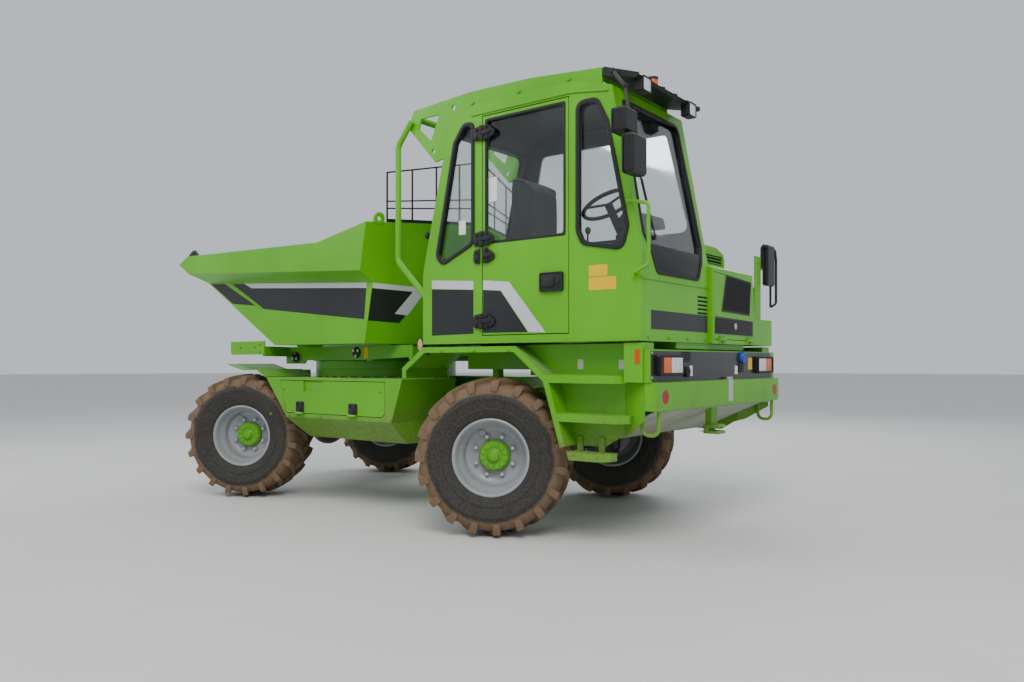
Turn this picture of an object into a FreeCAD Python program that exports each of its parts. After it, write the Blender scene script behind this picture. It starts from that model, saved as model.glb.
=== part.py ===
import FreeCAD, Part
import os
from math import atan2, cos, degrees, hypot, radians, sin, tan

# Site dumper with a swivelling skip, a cab on the near side and an engine hood on the far side.
# Frame: X forward towards the skip, Y towards the cab side, Z up, origin on the ground.
# Lengths are millimetres and angles are degrees.

V = FreeCAD.Vector
X_AXIS, Y_AXIS, Z_AXIS = V(1, 0, 0), V(0, 1, 0), V(0, 0, 1)

# Wheels and axles
AXLE_REAR_X = -1120.0
AXLE_FRONT_X = 1655.0
KINGPIN_Y = 777.0
HUB_OFFSET = 200.0
STEER_REST = 28.0
TYRE_R = 535.0
TYRE_W = 440.0
TREAD_W = 412.0
TREAD_DEPTH = 34.0
SHOULDER_DROP = 52.0
CROWN_DROP = 12.0
LUG_COUNT = 19
LUG_THICK = 40.0
LUG_RAKE = 25.0
BEAD_R = 248.0
FLANGE_R = 260.0
FLANGE_Y = 188.0
FLANGE_T = 14.0
RIM_T = 9.0
WELL_R = 216.0
WELL_Y = 70.0
DISC_Y = 0.0
DISC_T = 12.0
DISC_RISE = 18.0
HUB_R = 108.0
HUB_OUT = 66.0
HUB_BASE = 62.0
HUB_CAP_R = 38.0
HUB_CAP_T = 18.0
SPINDLE_R = 45.0
RUN_FIT = 0.05
KNUCKLE_R = 72.0
KNUCKLE_H = 200.0
KINGPIN_R = 26.0
EAR_T = 32.0
EAR_GAP = 1.0
EAR_R = 62.0
AXLE_TUBE_R = 68.0
DIFF_R = 165.0
ARM_LENGTH = 170.0
ARM_T = 20.0
ARM_EYE_R = 27.0
ARM_DROP = 34.0
ROD_R = 16.0
ROD_X = 158.0
ROD_EYE_T = 18.0
ROD_GAP = 3.0
STEER_BARREL_R = 34.0
STEER_BARREL_L = 340.0

# Chassis
RAIL_Y = 360.0
RAIL_W = 70.0
RAIL_BOTTOM = 700.0
RAIL_TOP = 960.0
CHASSIS_REAR_X = -2400.0
CHASSIS_FRONT_X = 2060.0
DECK_TOP = 1050.0
CROSS_DROP = 30.0
CARRIER_T = 40.0
CARRIER_FRONT_X = -760.0
POST_W = 60.0
HITCH_X = -2415.0
HITCH_BOTTOM = 680.0
HITCH_TOP = 745.0
HITCH_SLOT = 25.0
HITCH_R = 16.0

# Slewing ring and turntable
SLEW_X = 830.0
RING_R = 640.0
DRUM_R = 610.0
RING_BORE = 480.0
RING_SPLIT = 1118.0
RING_GAP = 0.3
RING_TOP = 1186.0
PLATE_Y = 660.0
PLATE_T = 16.0
PLATE_TOP = 1312.0
PLATE_FRONT_X = 1450.0
PLATE_REAR_X = -140.0
PLATE_NOSE_BOTTOM = 1160.0
PIVOT_X = 1300.0
PIVOT_Z = 1220.0
PIVOT_R = 30.0
NOSE_Y = 1004.0
NOSE_T = 14.0
NOSE_FRONT_X = 1775.0
NOSE_REAR_X = 1290.0
NOSE_TOP = 1357.0
NOSE_BOTTOM = 1240.0
NOSE_HOLE_X = 1520.0
NOSE_HOLE_PITCH = 205.0
NOSE_HOLE_Z = 1300.0
NOSE_HOLE_R = 11.0
NECK_T = 36.0
BEAM_TOP = 1240.0
BEAM_W = 60.0
BEAM_DROP = 12.0
REST_PAD_X = 110.0
REST_PAD_L = 160.0

# Skip
SKIP_T = 8.0
SKIP_Y = 980.0
SKIP_RIM_Y = 1100.0
SKIP_FLOOR = 1320.0
SKIP_FLOOR_FRONT_X = 1190.0
LIP_X = 2480.0
LIP_Z = 2090.0
LIP_TOP_X = 2340.0
LIP_TOP_Z = 2160.0
KINK_X = 490.0
KINK_Z = 2130.0
REAR_TOP_X = -80.0
REAR_TOP_Z = 2240.0
REAR_BOTTOM_X = 65.0
REAR_APEX_X = -300.0
REAR_APEX_Z = 2320.0
FOLD_FRONT_Z = 1990.0
FOLD_REAR_Z = 1870.0
FOLD_FRONT_X = 2210.0
BAND_H = 80.0
GUARD_Y = 920.0
GUARD_MID_H = 540.0
GUARD_END_H = 388.0
GUARD_BAR_T = 8.0
GUARD_POSTS = 5
LUG_Y = 610.0
LUG_T = 24.0

# Tip cylinder
BARREL_X = 980.0
BARREL_Z = 1165.0
EYE_X = 60.0
EYE_Z = 1275.0
BARREL_R = 42.0
BARREL_NECK_R = 27.0
BARREL_START = 105.0
BARREL_SHORT = 170.0
TIP_ROD_R = 26.0
TIP_PIN_R = 20.0
CHEEK_GAP = 8.0
CHEEK_T = 16.0
EYE_W = 60.0
BARREL_CHEEK_Y = EYE_W / 2 + CHEEK_GAP
EYE_CHEEK_Y = EYE_W / 2 + CHEEK_GAP

# Cab
CAB_NEAR_Y = 1050.0
CAB_FAR_Y = 100.0
CAB_FRONT_X = -623.0
CAB_REAR_X = -2392.0
SILL_Z = 1300.0
CAB_WALL = 45.0
ROOF_SPLIT = 2872.0
FLOOR_T = 30.0
BELT_FRONT_Z = 1790.0
BELT_REAR_Z = 1837.0
ROOF_Z = 2940.0
DOOR_FRONT_X = -1174.0
DOOR_REAR_X = -1882.0
DOOR_BOTTOM = 1352.0
DOOR_TOP = 2850.0
DOOR_GAP = 6.0
DOOR_T = 40.0
GLASS_T = 6.0
WINDOW_BOTTOM = 1977.0
WINDOW_EDGE = 22.0
LOUVRES = 5
LOUVRE_Y = 112.0
LOUVRE_W = 155.0
LOUVRE_Z = 1495.0
LOUVRE_PITCH = 27.0

# Seat and steering wheel
SEAT_X = -1560.0
SEAT_Y = 560.0
SEAT_H = 430.0
SEAT_PAN_T = 30.0
SEAT_BACK_X = 330.0
STEER_WHEEL = (-1880.0, 2240.0)
FLOOR_TOP = SILL_Z + CAB_WALL + FLOOR_T

# Roll-over frame above the cab
ROPS_Y = 1000.0
ROPS_T = 16.0
ROPS_RISE = 117.0
ROPS_REAR_X = -2093.0
ROPS_FOOT_Z = 2640.0
ROPS_TUBE_R = 26.0
ROPS_SLIT = 15.0

# Light bar, rails and mirrors
VISOR_X = -2350.0
BEACON_X = -2180.0
BEACON_Y = 500.0
BEACON_R = 38.0
BEACON_H = 92.0
WORK_LIGHT_Y = (260.0, 900.0)
RAIL_TUBE_R = 22.0
MIRROR_TUBE_R = 11.0
LOOP_TUBE_R = 9.0
MIRROR_FACE_X = -2400.0
MIRROR_POST_HOLES = (1720, 1790, 1860, 1930)

# Engine hood
HOOD_FAR_Y = -1040.0
HOOD_NEAR_Y = 88.0
HOOD_REAR_X = -2420.0
HOOD_FRONT_X = -720.0
HOOD_TOP = 1893.0
HOOD_FAR_TOP = 1866.0
HOOD_SHOULDER_Y = -627.0
HOOD_WAIST_Y = -688.0
HOOD_SLOPE_X = -2200.0
HOOD_SLOPE_DROP = 71.0
SHELF_TOP = 1500.0
HOOD_T = 14.0
HOOD_DOOR_MARGIN = 25.0
HOOD_DOOR_LOW = 30.0
HOOD_DOOR_GAP = 4.0
INTAKE_FRONT_X = -900.0
INTAKE_H = 142.0
INTAKE_SLATS = 3
ENGINE_BOX = (-2150.0, -1150.0, -600.0, -80.0)
ENGINE_H = 420.0

# Rear end
BUMPER_X = -2480.0
BUMPER_Y = 1020.0
BUMPER_BOTTOM = 880.0
BUMPER_TOP = 1050.0
BUMPER_T = 12.0
BELLY_FRONT_X = -1950.0
BELLY_FRONT_Z = 660.0
BELLY_T = 8.0
BELLY_Y = 890.0
LOOP_Y = 945.0
LOOP_R = 12.0
LOOP_LOW = 730.0
LAMP_PANEL_TOP = 1250.0
LAMP_PANEL_Y = 1028.0
LAMP_Y = 790.0
LAMP_W = 320.0
LAMP_LOW = 1090.0
LAMP_H = 128.0
CORNER_Y = 1040.0
CORNER_X = -2270.0

# Side boxes and fenders
BOX_Y = 1050.0
BOX_INNER_Y = 440.0
BOX_TOP = 1045.0
BOX_FOLD = 720.0
BOX_BOTTOM = 550.0
BOX_BOTTOM_Y = 880.0
BOX_REAR_X = -410.0
BOX_FRONT_X = 1215.0
BOX_FRONT_LOW_X = 940.0
HATCH_REAR_X = -232.0
HATCH_FRONT_X = 985.0
HATCH_BOTTOM = 752.0
HATCH_T = 20.0
HATCH_GAP = 5.0
BOX_DEPTH = 140.0
FENDER_T = 8.0
FENDER_INNER_Y = 560.0
FENDER_CLEAR = 42.0
ARCH_LIP = 40.0
WALL_Y = 900.0
WALL_BEND_X = -2203.0
STEP_T = 50.0
STEP_BEVEL = 65.0

# Shared small sizes
HINGE_R = 12.0
HINGE_PIN_R = 6.0
SEAT_GAP = 0.3


def solid_from(points, push):
    """Closed outline of vectors pushed along a vector."""
    ring = [V(*p) for p in points]
    face = Part.Face(Part.makePolygon(ring + [ring[0]]))
    return face.extrude(V(*push))


def across(outline, y0, y1):
    """Outline in X and Z, carried from y0 to y1."""
    return solid_from([(x, y0, z) for x, z in outline], (0, y1 - y0, 0))


def along(outline, x0, x1):
    """Outline in Y and Z, carried from x0 to x1."""
    return solid_from([(x0, y, z) for y, z in outline], (x1 - x0, 0, 0))


def upright(outline, z0, z1):
    """Outline in X and Y, carried from z0 to z1."""
    return solid_from([(x, y, z0) for x, y in outline], (0, 0, z1 - z0))


def block(x0, x1, y0, y1, z0, z1):
    return Part.makeBox(x1 - x0, y1 - y0, z1 - z0, V(x0, y0, z0))


def bevelled_block(x0, x1, y0, y1, z0, z1, bevel):
    """Block with every edge cut off at 45 degrees, for mouldings and lamp housings."""
    solid = block(x0, x1, y0, y1, z0, z1)
    return solid.makeChamfer(bevel, solid.Edges)


def rod(start, end, radius):
    start, end = V(*start), V(*end)
    return Part.makeCylinder(radius, (end - start).Length, start, end - start)


def fuse(shapes):
    shapes = list(shapes)
    if len(shapes) == 1:
        return shapes[0]
    return shapes[0].multiFuse(shapes[1:]).removeSplitter()


def cut(shape, tools):
    for tool in tools:
        shape = shape.cut(tool)
    return shape


def sided(side, inner, outer):
    """Low and high Y of something that spans inner to outer on one side of the vehicle."""
    return sorted((side * inner, side * outer))


def mirrored(shape):
    """The same piece on the other side of the vehicle."""
    return shape.mirror(V(0, 0, 0), Y_AXIS)


def shifted_line(points, step):
    """Open line moved sideways by a step, to the left of its own direction."""
    moved = []
    for i in range(len(points)):
        ways = []
        for a, b in ((i - 1, i), (i, i + 1)):
            if a >= 0 and b < len(points):
                dx, dz = points[b][0] - points[a][0], points[b][1] - points[a][1]
                span = hypot(dx, dz)
                ways.append((-dz / span, dx / span))
        nx, nz = sum(w[0] for w in ways), sum(w[1] for w in ways)
        size = hypot(nx, nz)
        reach = step / (size / len(ways))
        moved.append((points[i][0] + nx / size * reach, points[i][1] + nz / size * reach))
    return moved


def beyond(point, normal, reach=6000.0):
    """Everything on the far side of a plane, as one large block."""
    solid = Part.makeBox(2 * reach, 2 * reach, reach, V(-reach, -reach, 0))
    solid.Placement = FreeCAD.Placement(V(*point), FreeCAD.Rotation(Z_AXIS, V(*normal)))
    return solid


def bent_tube(points, radius, bend):
    """Round tube through the points, with a tangent arc of the bend radius at each inner point."""
    pts = [V(*p) for p in points]
    edges = []
    start = pts[0]
    for before, corner, after in zip(pts, pts[1:], pts[2:]):
        into = (corner - before).normalize()
        out = (after - corner).normalize()
        turn = into.getAngle(out)
        reach = bend * tan(turn / 2)
        first = corner - into * reach
        last = corner + out * reach
        centre_way = (out - into).normalize()
        middle = corner + centre_way * (bend / cos(turn / 2) - bend)
        edges.append(Part.LineSegment(start, first).toShape())
        edges.append(Part.Arc(first, middle, last).toShape())
        start = last
    edges.append(Part.LineSegment(start, pts[-1]).toShape())
    path = Part.Wire(edges)
    way = (pts[1] - pts[0]).normalize()
    section = Part.Wire(Part.Circle(pts[0], way, radius).toShape())
    return path.makePipeShell([section], True, True)


def revolved(profile, centre=(0, 0, 0)):
    """Closed outline of (radius, y) turned about the Y axis."""
    ring = [V(r, y, 0) for r, y in profile]
    face = Part.Face(Part.makePolygon(ring + [ring[0]]))
    solid = face.revolve(V(0, 0, 0), Y_AXIS, 360)
    solid.translate(V(*centre))
    return solid


def hinge(axis_point, pin_way, fixed_way, length, leaf, leaf_width):
    """Three-part hinge: fixed leaf with both end barrels and the pin, moving leaf with the middle barrel."""
    third = length / 3
    gap = 0.5
    fixed = fuse([
        Part.makeCylinder(HINGE_R, third - gap, V(0, 0, -length / 2)),
        Part.makeCylinder(HINGE_R, third - gap, V(0, 0, length / 2 - third + gap)),
        Part.makeCylinder(HINGE_PIN_R, length, V(0, 0, -length / 2)),
        block(0, leaf, -HINGE_R, -HINGE_R + 6, -length / 2, -length / 2 + leaf_width),
        block(0, leaf, -HINGE_R, -HINGE_R + 6, length / 2 - leaf_width, length / 2),
    ])
    barrel = Part.makeCylinder(HINGE_R, third - 2 * gap, V(0, 0, -third / 2 + gap))
    plate = block(-leaf, 0, -HINGE_R, -HINGE_R + 6, -third / 2 + gap, third / 2 - gap)
    moving = fuse([barrel, plate]).cut(Part.makeCylinder(HINGE_PIN_R + RUN_FIT, length, V(0, 0, -length / 2)))
    pin, fix = V(*pin_way), V(*fixed_way)
    out = pin.cross(fix)
    turn = FreeCAD.Rotation(fix, out, pin, "ZXY")
    for shape in (fixed, moving):
        shape.Placement = FreeCAD.Placement(V(*axis_point), turn)
    return fixed, moving


def placed_wheel(shape, axle_x, side):
    """A piece drawn on the wheel's own axis, outboard along +Y, put on its kingpin and steered."""
    copy = shape.copy()
    if side < 0:
        copy.rotate(V(0, 0, 0), Z_AXIS, 180)
    copy.translate(V(0, 0, TYRE_R))
    copy.rotate(V(0, 0, 0), Z_AXIS, STEER_REST)
    copy.translate(V(axle_x, side * KINGPIN_Y, 0))
    return copy


# Wheels, drawn with the kingpin at the origin and the wheel's centre plane at HUB_OFFSET

def tyre():
    """Carcass with a row of raked tread bars on each half, the rows half a pitch apart."""
    edge = TYRE_W / 2
    root = TYRE_R - TREAD_DEPTH
    profile = [(BEAD_R, -FLANGE_Y + FLANGE_T), (BEAD_R + 40, -edge + 20), (BEAD_R + 120, -edge)]
    profile += [(TYRE_R - SHOULDER_DROP - 60, -edge + 2), (TYRE_R - SHOULDER_DROP, -TREAD_W / 2)]
    profile += [(root - 4, -TREAD_W / 2 + 50)]
    profile += [(r, -y) for r, y in reversed(profile)]
    shapes = [revolved(profile)]
    reach = TREAD_W / 2 / cos(radians(LUG_RAKE))
    bar = [(-8, root - 30), (-8, TYRE_R), (reach * 0.7, TYRE_R - CROWN_DROP), (reach, TYRE_R - 30)]
    bar += [(reach, TYRE_R - SHOULDER_DROP - 40)]
    for half in (-1, 1):
        for number in range(LUG_COUNT):
            lug = along([(half * y, z) for y, z in bar], -LUG_THICK / 2, LUG_THICK / 2)
            lug.rotate(V(0, 0, 0), Z_AXIS, -half * LUG_RAKE)
            lug.rotate(V(0, 0, 0), Y_AXIS, 360 / LUG_COUNT * (number + (half + 1) / 4))
            shapes.append(lug)
    solid = shapes[0].multiFuse(shapes[1:])
    solid.translate(V(0, HUB_OFFSET, 0))
    return solid


def rim():
    out = [(FLANGE_R, -FLANGE_Y), (FLANGE_R, -FLANGE_Y + 6), (BEAD_R, -FLANGE_Y + FLANGE_T)]
    out += [(BEAD_R - 3, -WELL_Y - 60), (WELL_R, -WELL_Y), (WELL_R, WELL_Y), (BEAD_R - 3, WELL_Y + 60)]
    out += [(BEAD_R, FLANGE_Y - FLANGE_T), (FLANGE_R, FLANGE_Y - 6), (FLANGE_R, FLANGE_Y)]
    inner = [(BEAD_R - RIM_T, FLANGE_Y), (BEAD_R - RIM_T - 3, WELL_Y + 64), (WELL_R - RIM_T, WELL_Y + 6)]
    inner += [(r, -y) for r, y in reversed(inner)]
    barrel = revolved(out + inner)
    face, edge, bend = DISC_Y + DISC_T, WELL_R - RIM_T + 1, HUB_R + 55
    disc = [(HUB_BASE + RUN_FIT, DISC_Y), (HUB_BASE + RUN_FIT, face), (bend, face), (edge, face + DISC_RISE)]
    disc += [(edge, DISC_Y + DISC_RISE), (bend, DISC_Y)]
    wheel = barrel.fuse(revolved(disc))
    wheel.translate(V(0, HUB_OFFSET, 0))
    return wheel


def hub():
    """Planetary hub: drum behind the disc, bored for the spindle, and the ribbed cover in front of it."""
    drum_in = -95.0
    profile = [(SPINDLE_R + RUN_FIT, drum_in), (HUB_R - 12, drum_in), (HUB_R - 12, DISC_Y - SEAT_GAP)]
    profile += [(HUB_BASE, DISC_Y - SEAT_GAP), (HUB_BASE, DISC_Y + DISC_T + SEAT_GAP)]
    profile += [(HUB_R, DISC_Y + DISC_T + SEAT_GAP), (HUB_R, HUB_OUT - 16), (HUB_R - 14, HUB_OUT)]
    profile += [(HUB_CAP_R, HUB_OUT), (HUB_CAP_R, HUB_OUT + HUB_CAP_T), (0, HUB_OUT + HUB_CAP_T)]
    profile += [(0, 0), (SPINDLE_R + RUN_FIT, 0)]
    return revolved(profile, (0, HUB_OFFSET, 0))


def knuckle(arm_way):
    body = Part.makeCylinder(KNUCKLE_R, KNUCKLE_H, V(0, 0, -KNUCKLE_H / 2))
    spindle = rod((0, 0, 0), (0, HUB_OFFSET - 5, 0), SPINDLE_R)
    collar = rod((0, 0, 0), (0, HUB_OFFSET - 98, 0), KNUCKLE_R - 4)
    pins = rod((0, 0, -KNUCKLE_H / 2 - EAR_T - 6), (0, 0, KNUCKLE_H / 2 + EAR_T + 6), KINGPIN_R)
    arm_z = -ARM_DROP
    tip = arm_way * ARM_LENGTH
    arm = block(min(0, tip), max(0, tip), -ARM_EYE_R, ARM_EYE_R, arm_z - ARM_T, arm_z)
    eye = Part.makeCylinder(ARM_EYE_R, ARM_T, V(tip, 0, arm_z - ARM_T))
    return fuse([body, spindle, collar, pins, arm, eye])


def axle(axle_x, arm_way):
    z = TYRE_R
    ear_low = z + KNUCKLE_H / 2 + EAR_GAP
    under_z = z - KNUCKLE_H / 2 - EAR_GAP - EAR_T
    yoke_y = KINGPIN_Y - KNUCKLE_R - 16
    tube = rod((axle_x, -yoke_y, z), (axle_x, yoke_y, z), AXLE_TUBE_R)
    diff = Part.makeSphere(DIFF_R, V(axle_x, 0, z))
    pieces = [tube, diff]
    for side in (-1, 1):
        y0, y1 = sided(side, yoke_y - 34, yoke_y)
        pieces.append(block(axle_x - EAR_R, axle_x + EAR_R, y0, y1, under_z, ear_low + EAR_T))
        for low in (ear_low, under_z):
            y0, y1 = sided(side, yoke_y - 4, KINGPIN_Y)
            ear = block(axle_x - EAR_R, axle_x + EAR_R, y0, y1, low, low + EAR_T)
            ear = ear.fuse(Part.makeCylinder(EAR_R, EAR_T, V(axle_x, side * KINGPIN_Y, low)))
            bore = Part.makeCylinder(KINGPIN_R + RUN_FIT, EAR_T, V(axle_x, side * KINGPIN_Y, low))
            pieces.append(ear.cut(bore))
    rod_x = axle_x + arm_way * ROD_X
    rod_z = z - ARM_DROP + ROD_GAP + ROD_EYE_T / 2
    barrel = rod((rod_x, -STEER_BARREL_L / 2, rod_z), (rod_x, STEER_BARREL_L / 2, rod_z), STEER_BARREL_R)
    pieces.append(barrel)
    for y in (-STEER_BARREL_L / 2 + 30, STEER_BARREL_L / 2 - 30):
        lug = block(min(axle_x, rod_x), max(axle_x, rod_x), y - 12, y + 12, rod_z - 20, rod_z + 20)
        pieces.append(lug)
    for y in (-RAIL_Y, RAIL_Y):
        pieces.append(block(axle_x - 60, axle_x + 60, y - 45, y + 45, z, RAIL_BOTTOM - SEAT_GAP))
    body = fuse(pieces)
    bore = rod((rod_x, -STEER_BARREL_L, rod_z), (rod_x, STEER_BARREL_L, rod_z), ROD_R + RUN_FIT)
    return body.cut(bore)


def steer_rod(axle_x, arm_way):
    z = TYRE_R - ARM_DROP + ROD_GAP
    x = axle_x + arm_way * ROD_X
    shift = arm_way * ARM_LENGTH * sin(radians(STEER_REST))
    ends = (-KINGPIN_Y + shift, KINGPIN_Y + shift)
    bar = rod((x, ends[0], z + ROD_EYE_T / 2), (x, ends[1], z + ROD_EYE_T / 2), ROD_R)
    flat = block(x - 60, x + 60, -2000, 2000, z, z + ROD_EYE_T)
    middle = block(x - 60, x + 60, ends[0] + 90, ends[1] - 90, z - 60, z + 60)
    bar = bar.common(fuse([flat, middle]))
    eyes = [Part.makeCylinder(ARM_EYE_R, ROD_EYE_T, V(x, y, z)) for y in ends]
    return fuse([bar] + eyes)


# Chassis, slewing ring and turntable

def belly_space():
    """Everything below the belly plate at the rear end, which no chassis piece reaches into."""
    line = [(-2500, 870), (-2405, 880), (BELLY_FRONT_X, BELLY_FRONT_Z + 8), (-1400, BELLY_FRONT_Z - 40)]
    return across(line + [(-1400, 400), (-2500, 400)], -900, 900)


def chassis_frame():
    """Two box rails, the cross members between them and the outriggers that carry the side boxes."""
    inner = RAIL_Y - RAIL_W / 2 - SEAT_GAP
    outer = RAIL_Y + RAIL_W / 2
    pieces = []
    for side in (-1, 1):
        y0, y1 = sided(side, inner + SEAT_GAP, outer)
        rail = block(CHASSIS_REAR_X, CHASSIS_FRONT_X, y0, y1, RAIL_BOTTOM, RAIL_TOP)
        pieces.append(rail.cut(belly_space()))
        y0, y1 = sided(side, outer + SEAT_GAP, BOX_INNER_Y - SEAT_GAP)
        pieces.append(block(BOX_REAR_X + 130, BOX_FRONT_LOW_X - 120, y0, y1, 800, 860))
    for x0, x1 in ((-1600, -1520), (-700, -620), (250, 330), (1250, 1330), (2000, 2060)):
        pieces.append(block(x0, x1, -inner, inner, RAIL_BOTTOM + CROSS_DROP, RAIL_TOP))
    return Part.makeCompound(pieces)


def tow_hitch():
    """Rear cross member with the neck and the slotted, bored tow ears below it."""
    inner = RAIL_Y - RAIL_W / 2 - SEAT_GAP
    beam = block(CHASSIS_REAR_X, CHASSIS_REAR_X + 60, -inner, inner, RAIL_BOTTOM + CROSS_DROP, RAIL_TOP)
    neck = block(-2395, -2350, -50, 50, HITCH_TOP - 10, 900)
    ears = block(HITCH_X - 35, CHASSIS_REAR_X + 60, -60, 60, HITCH_BOTTOM, HITCH_TOP)
    middle = (HITCH_BOTTOM + HITCH_TOP) / 2
    slot = block(HITCH_X - 45, HITCH_X + 40, -70, 70, middle - HITCH_SLOT / 2, middle + HITCH_SLOT / 2)
    bore = Part.makeCylinder(HITCH_R, 200, V(HITCH_X, 0, HITCH_BOTTOM - 50))
    return fuse([beam.cut(belly_space()), neck, ears.cut(slot).cut(bore)])


def ring_base():
    """Drum on the rails and the fixed half of the slewing ring."""
    low = RAIL_TOP + SEAT_GAP
    drum = Part.makeCylinder(DRUM_R, DECK_TOP - low, V(SLEW_X, 0, low))
    ring = Part.makeCylinder(RING_R, RING_SPLIT - DECK_TOP - RING_GAP / 2, V(SLEW_X, 0, DECK_TOP))
    return drum.fuse(ring).cut(Part.makeCylinder(RING_BORE, 400, V(SLEW_X, 0, low - 50)))


def cab_carrier():
    """Deck under the cab and the engine, on six posts."""
    edge = FENDER_INNER_Y - SEAT_GAP
    top = SILL_Z - SEAT_GAP
    pieces = [block(CHASSIS_REAR_X + 20, CARRIER_FRONT_X, -edge, edge, top - CARRIER_T, top)]
    for x in (-2330, -1700, -800):
        for side in (-1, 1):
            y0, y1 = sided(side, RAIL_Y - POST_W / 2, RAIL_Y + POST_W / 2)
            pieces.append(block(x, x + POST_W, y0, y1, RAIL_TOP + SEAT_GAP, top - CARRIER_T - SEAT_GAP))
    return Part.makeCompound(pieces)


def turntable():
    """Turning half of the slewing ring, the side plates with the skip's bearings, and the nose plates."""
    low = RING_SPLIT + RING_GAP / 2
    ring = Part.makeCylinder(RING_R, RING_TOP - low, V(SLEW_X, 0, low))
    ring = ring.cut(Part.makeCylinder(RING_BORE, 200, V(SLEW_X, 0, RING_SPLIT - 50)))
    pieces = [ring]
    outline = [(PLATE_FRONT_X, PLATE_NOSE_BOTTOM), (PLATE_FRONT_X, PLATE_TOP), (PLATE_REAR_X, PLATE_TOP)]
    outline += [(PLATE_REAR_X, 1215), (470, RING_TOP + 4), (1170, RING_TOP + 4), (1200, PLATE_NOSE_BOTTOM)]
    nose = [(NOSE_REAR_X, NOSE_BOTTOM), (NOSE_REAR_X, NOSE_TOP), (NOSE_FRONT_X, NOSE_TOP)]
    nose += [(NOSE_FRONT_X, NOSE_BOTTOM + 20), (NOSE_FRONT_X - 20, NOSE_BOTTOM)]
    for side in (-1, 1):
        y0, y1 = sided(side, PLATE_Y - PLATE_T, PLATE_Y)
        bore = rod((PIVOT_X, y0, PIVOT_Z), (PIVOT_X, y1, PIVOT_Z), PIVOT_R + RUN_FIT)
        pieces.append(across(outline, y0, y1).cut(bore))
        y0, y1 = sided(side, PLATE_Y - 3 * PLATE_T, PLATE_Y)
        pad_x, pad_top = REST_PAD_X, SKIP_FLOOR - SEAT_GAP
        pieces.append(block(pad_x, pad_x + REST_PAD_L, y0, y1, PLATE_TOP - BEAM_DROP, pad_top))
        neck = [(NOSE_REAR_X, side * (NOSE_Y + 1)), (NOSE_REAR_X + NECK_T, side * (NOSE_Y + 1))]
        neck += [(PLATE_FRONT_X, side * (PLATE_Y - 1)), (PLATE_FRONT_X - NECK_T, side * (PLATE_Y - 1))]
        pieces.append(upright(neck, NOSE_BOTTOM - 15, PLATE_TOP))
        y0, y1 = sided(side, NOSE_Y, NOSE_Y + NOSE_T)
        holes = [NOSE_HOLE_X + half * NOSE_HOLE_PITCH for half in (-0.5, 0.5)]
        bores = [rod((x, y0, NOSE_HOLE_Z), (x, y1, NOSE_HOLE_Z), NOSE_HOLE_R) for x in holes]
        pieces.append(cut(across(nose, y0, y1), bores))
    rear_x, edge = PLATE_REAR_X + 20, PLATE_Y - 1
    pieces.append(block(rear_x, rear_x + BEAM_W, -edge, edge, 1225, PLATE_TOP - BEAM_DROP))
    cheek = [(BARREL_X - 45, BARREL_Z - 45), (BARREL_X + 60, BARREL_Z - 45), (BARREL_X + 90, BEAM_TOP)]
    cheek += [(BARREL_X, BEAM_TOP), (BARREL_X - 45, BARREL_Z + 30)]
    for side in (-1, 1):
        y0, y1 = sided(side, BARREL_CHEEK_Y + CHEEK_T - 1, PLATE_Y - 1)
        pieces.append(block(BARREL_X, BARREL_X + 90, y0, y1, RING_TOP - 2, BEAM_TOP))
        y0, y1 = sided(side, 80, PLATE_Y - 1)
        pieces.append(block(330, 330 + BEAM_W, y0, y1, RING_TOP - 2, BEAM_TOP + 10))
        y0, y1 = sided(side, BARREL_CHEEK_Y, BARREL_CHEEK_Y + CHEEK_T)
        pieces.append(across(cheek, y0, y1))
    pin_end = BARREL_CHEEK_Y + CHEEK_T + 8
    pieces.append(rod((BARREL_X, -pin_end, BARREL_Z), (BARREL_X, pin_end, BARREL_Z), TIP_PIN_R))
    return fuse(pieces)


# Skip

def skip_section(x, inset):
    """Cross-section outline in Y and Z at a station, narrowed by the wall."""
    slope = (FOLD_FRONT_Z - FOLD_REAR_Z) / (FOLD_FRONT_X - REAR_TOP_X)
    fold = FOLD_REAR_Z + slope * (x - REAR_TOP_X)
    low, wide, top = SKIP_Y - inset, SKIP_RIM_Y - inset, 2700.0
    half = [(low, SKIP_FLOOR + inset), (low, fold - BAND_H), (wide, fold), (wide, top)]
    return half + [(-y, z) for y, z in reversed(half)]


def skip_hull(inset):
    """Closed body of the skip's outside, or of its bowl when narrowed by the wall."""
    wires = []
    for x in (-600.0, 2700.0):
        ring = [V(x, y, z) for y, z in skip_section(x, inset)]
        wires.append(Part.makePolygon(ring + [ring[0]]))
    hull = Part.makeLoft(wires, True, True)
    front_slope = atan2(LIP_Z - SKIP_FLOOR, LIP_X - SKIP_FLOOR_FRONT_X)
    nx, nz = sin(front_slope), -cos(front_slope)
    hull = hull.cut(beyond((LIP_X - nx * inset, 0, LIP_Z - nz * inset), (nx, 0, nz)))
    for side in (-1, 1):
        corner, normal = rear_plane(side)
        hull = hull.cut(beyond(tuple(corner - normal * inset), tuple(normal)))
    return hull


def rear_plane(side):
    """Outer face of one half of the rear wall, as its lower corner and its outward normal."""
    corner_low = V(REAR_BOTTOM_X, side * SKIP_Y, SKIP_FLOOR)
    corner_top = V(REAR_TOP_X, side * SKIP_RIM_Y, REAR_TOP_Z)
    apex = V(REAR_APEX_X, 0, REAR_TOP_Z)
    normal = (corner_top - corner_low).cross(apex - corner_low)
    if normal.x > 0:
        normal = normal * -1
    return corner_low, normal.normalize()


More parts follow.
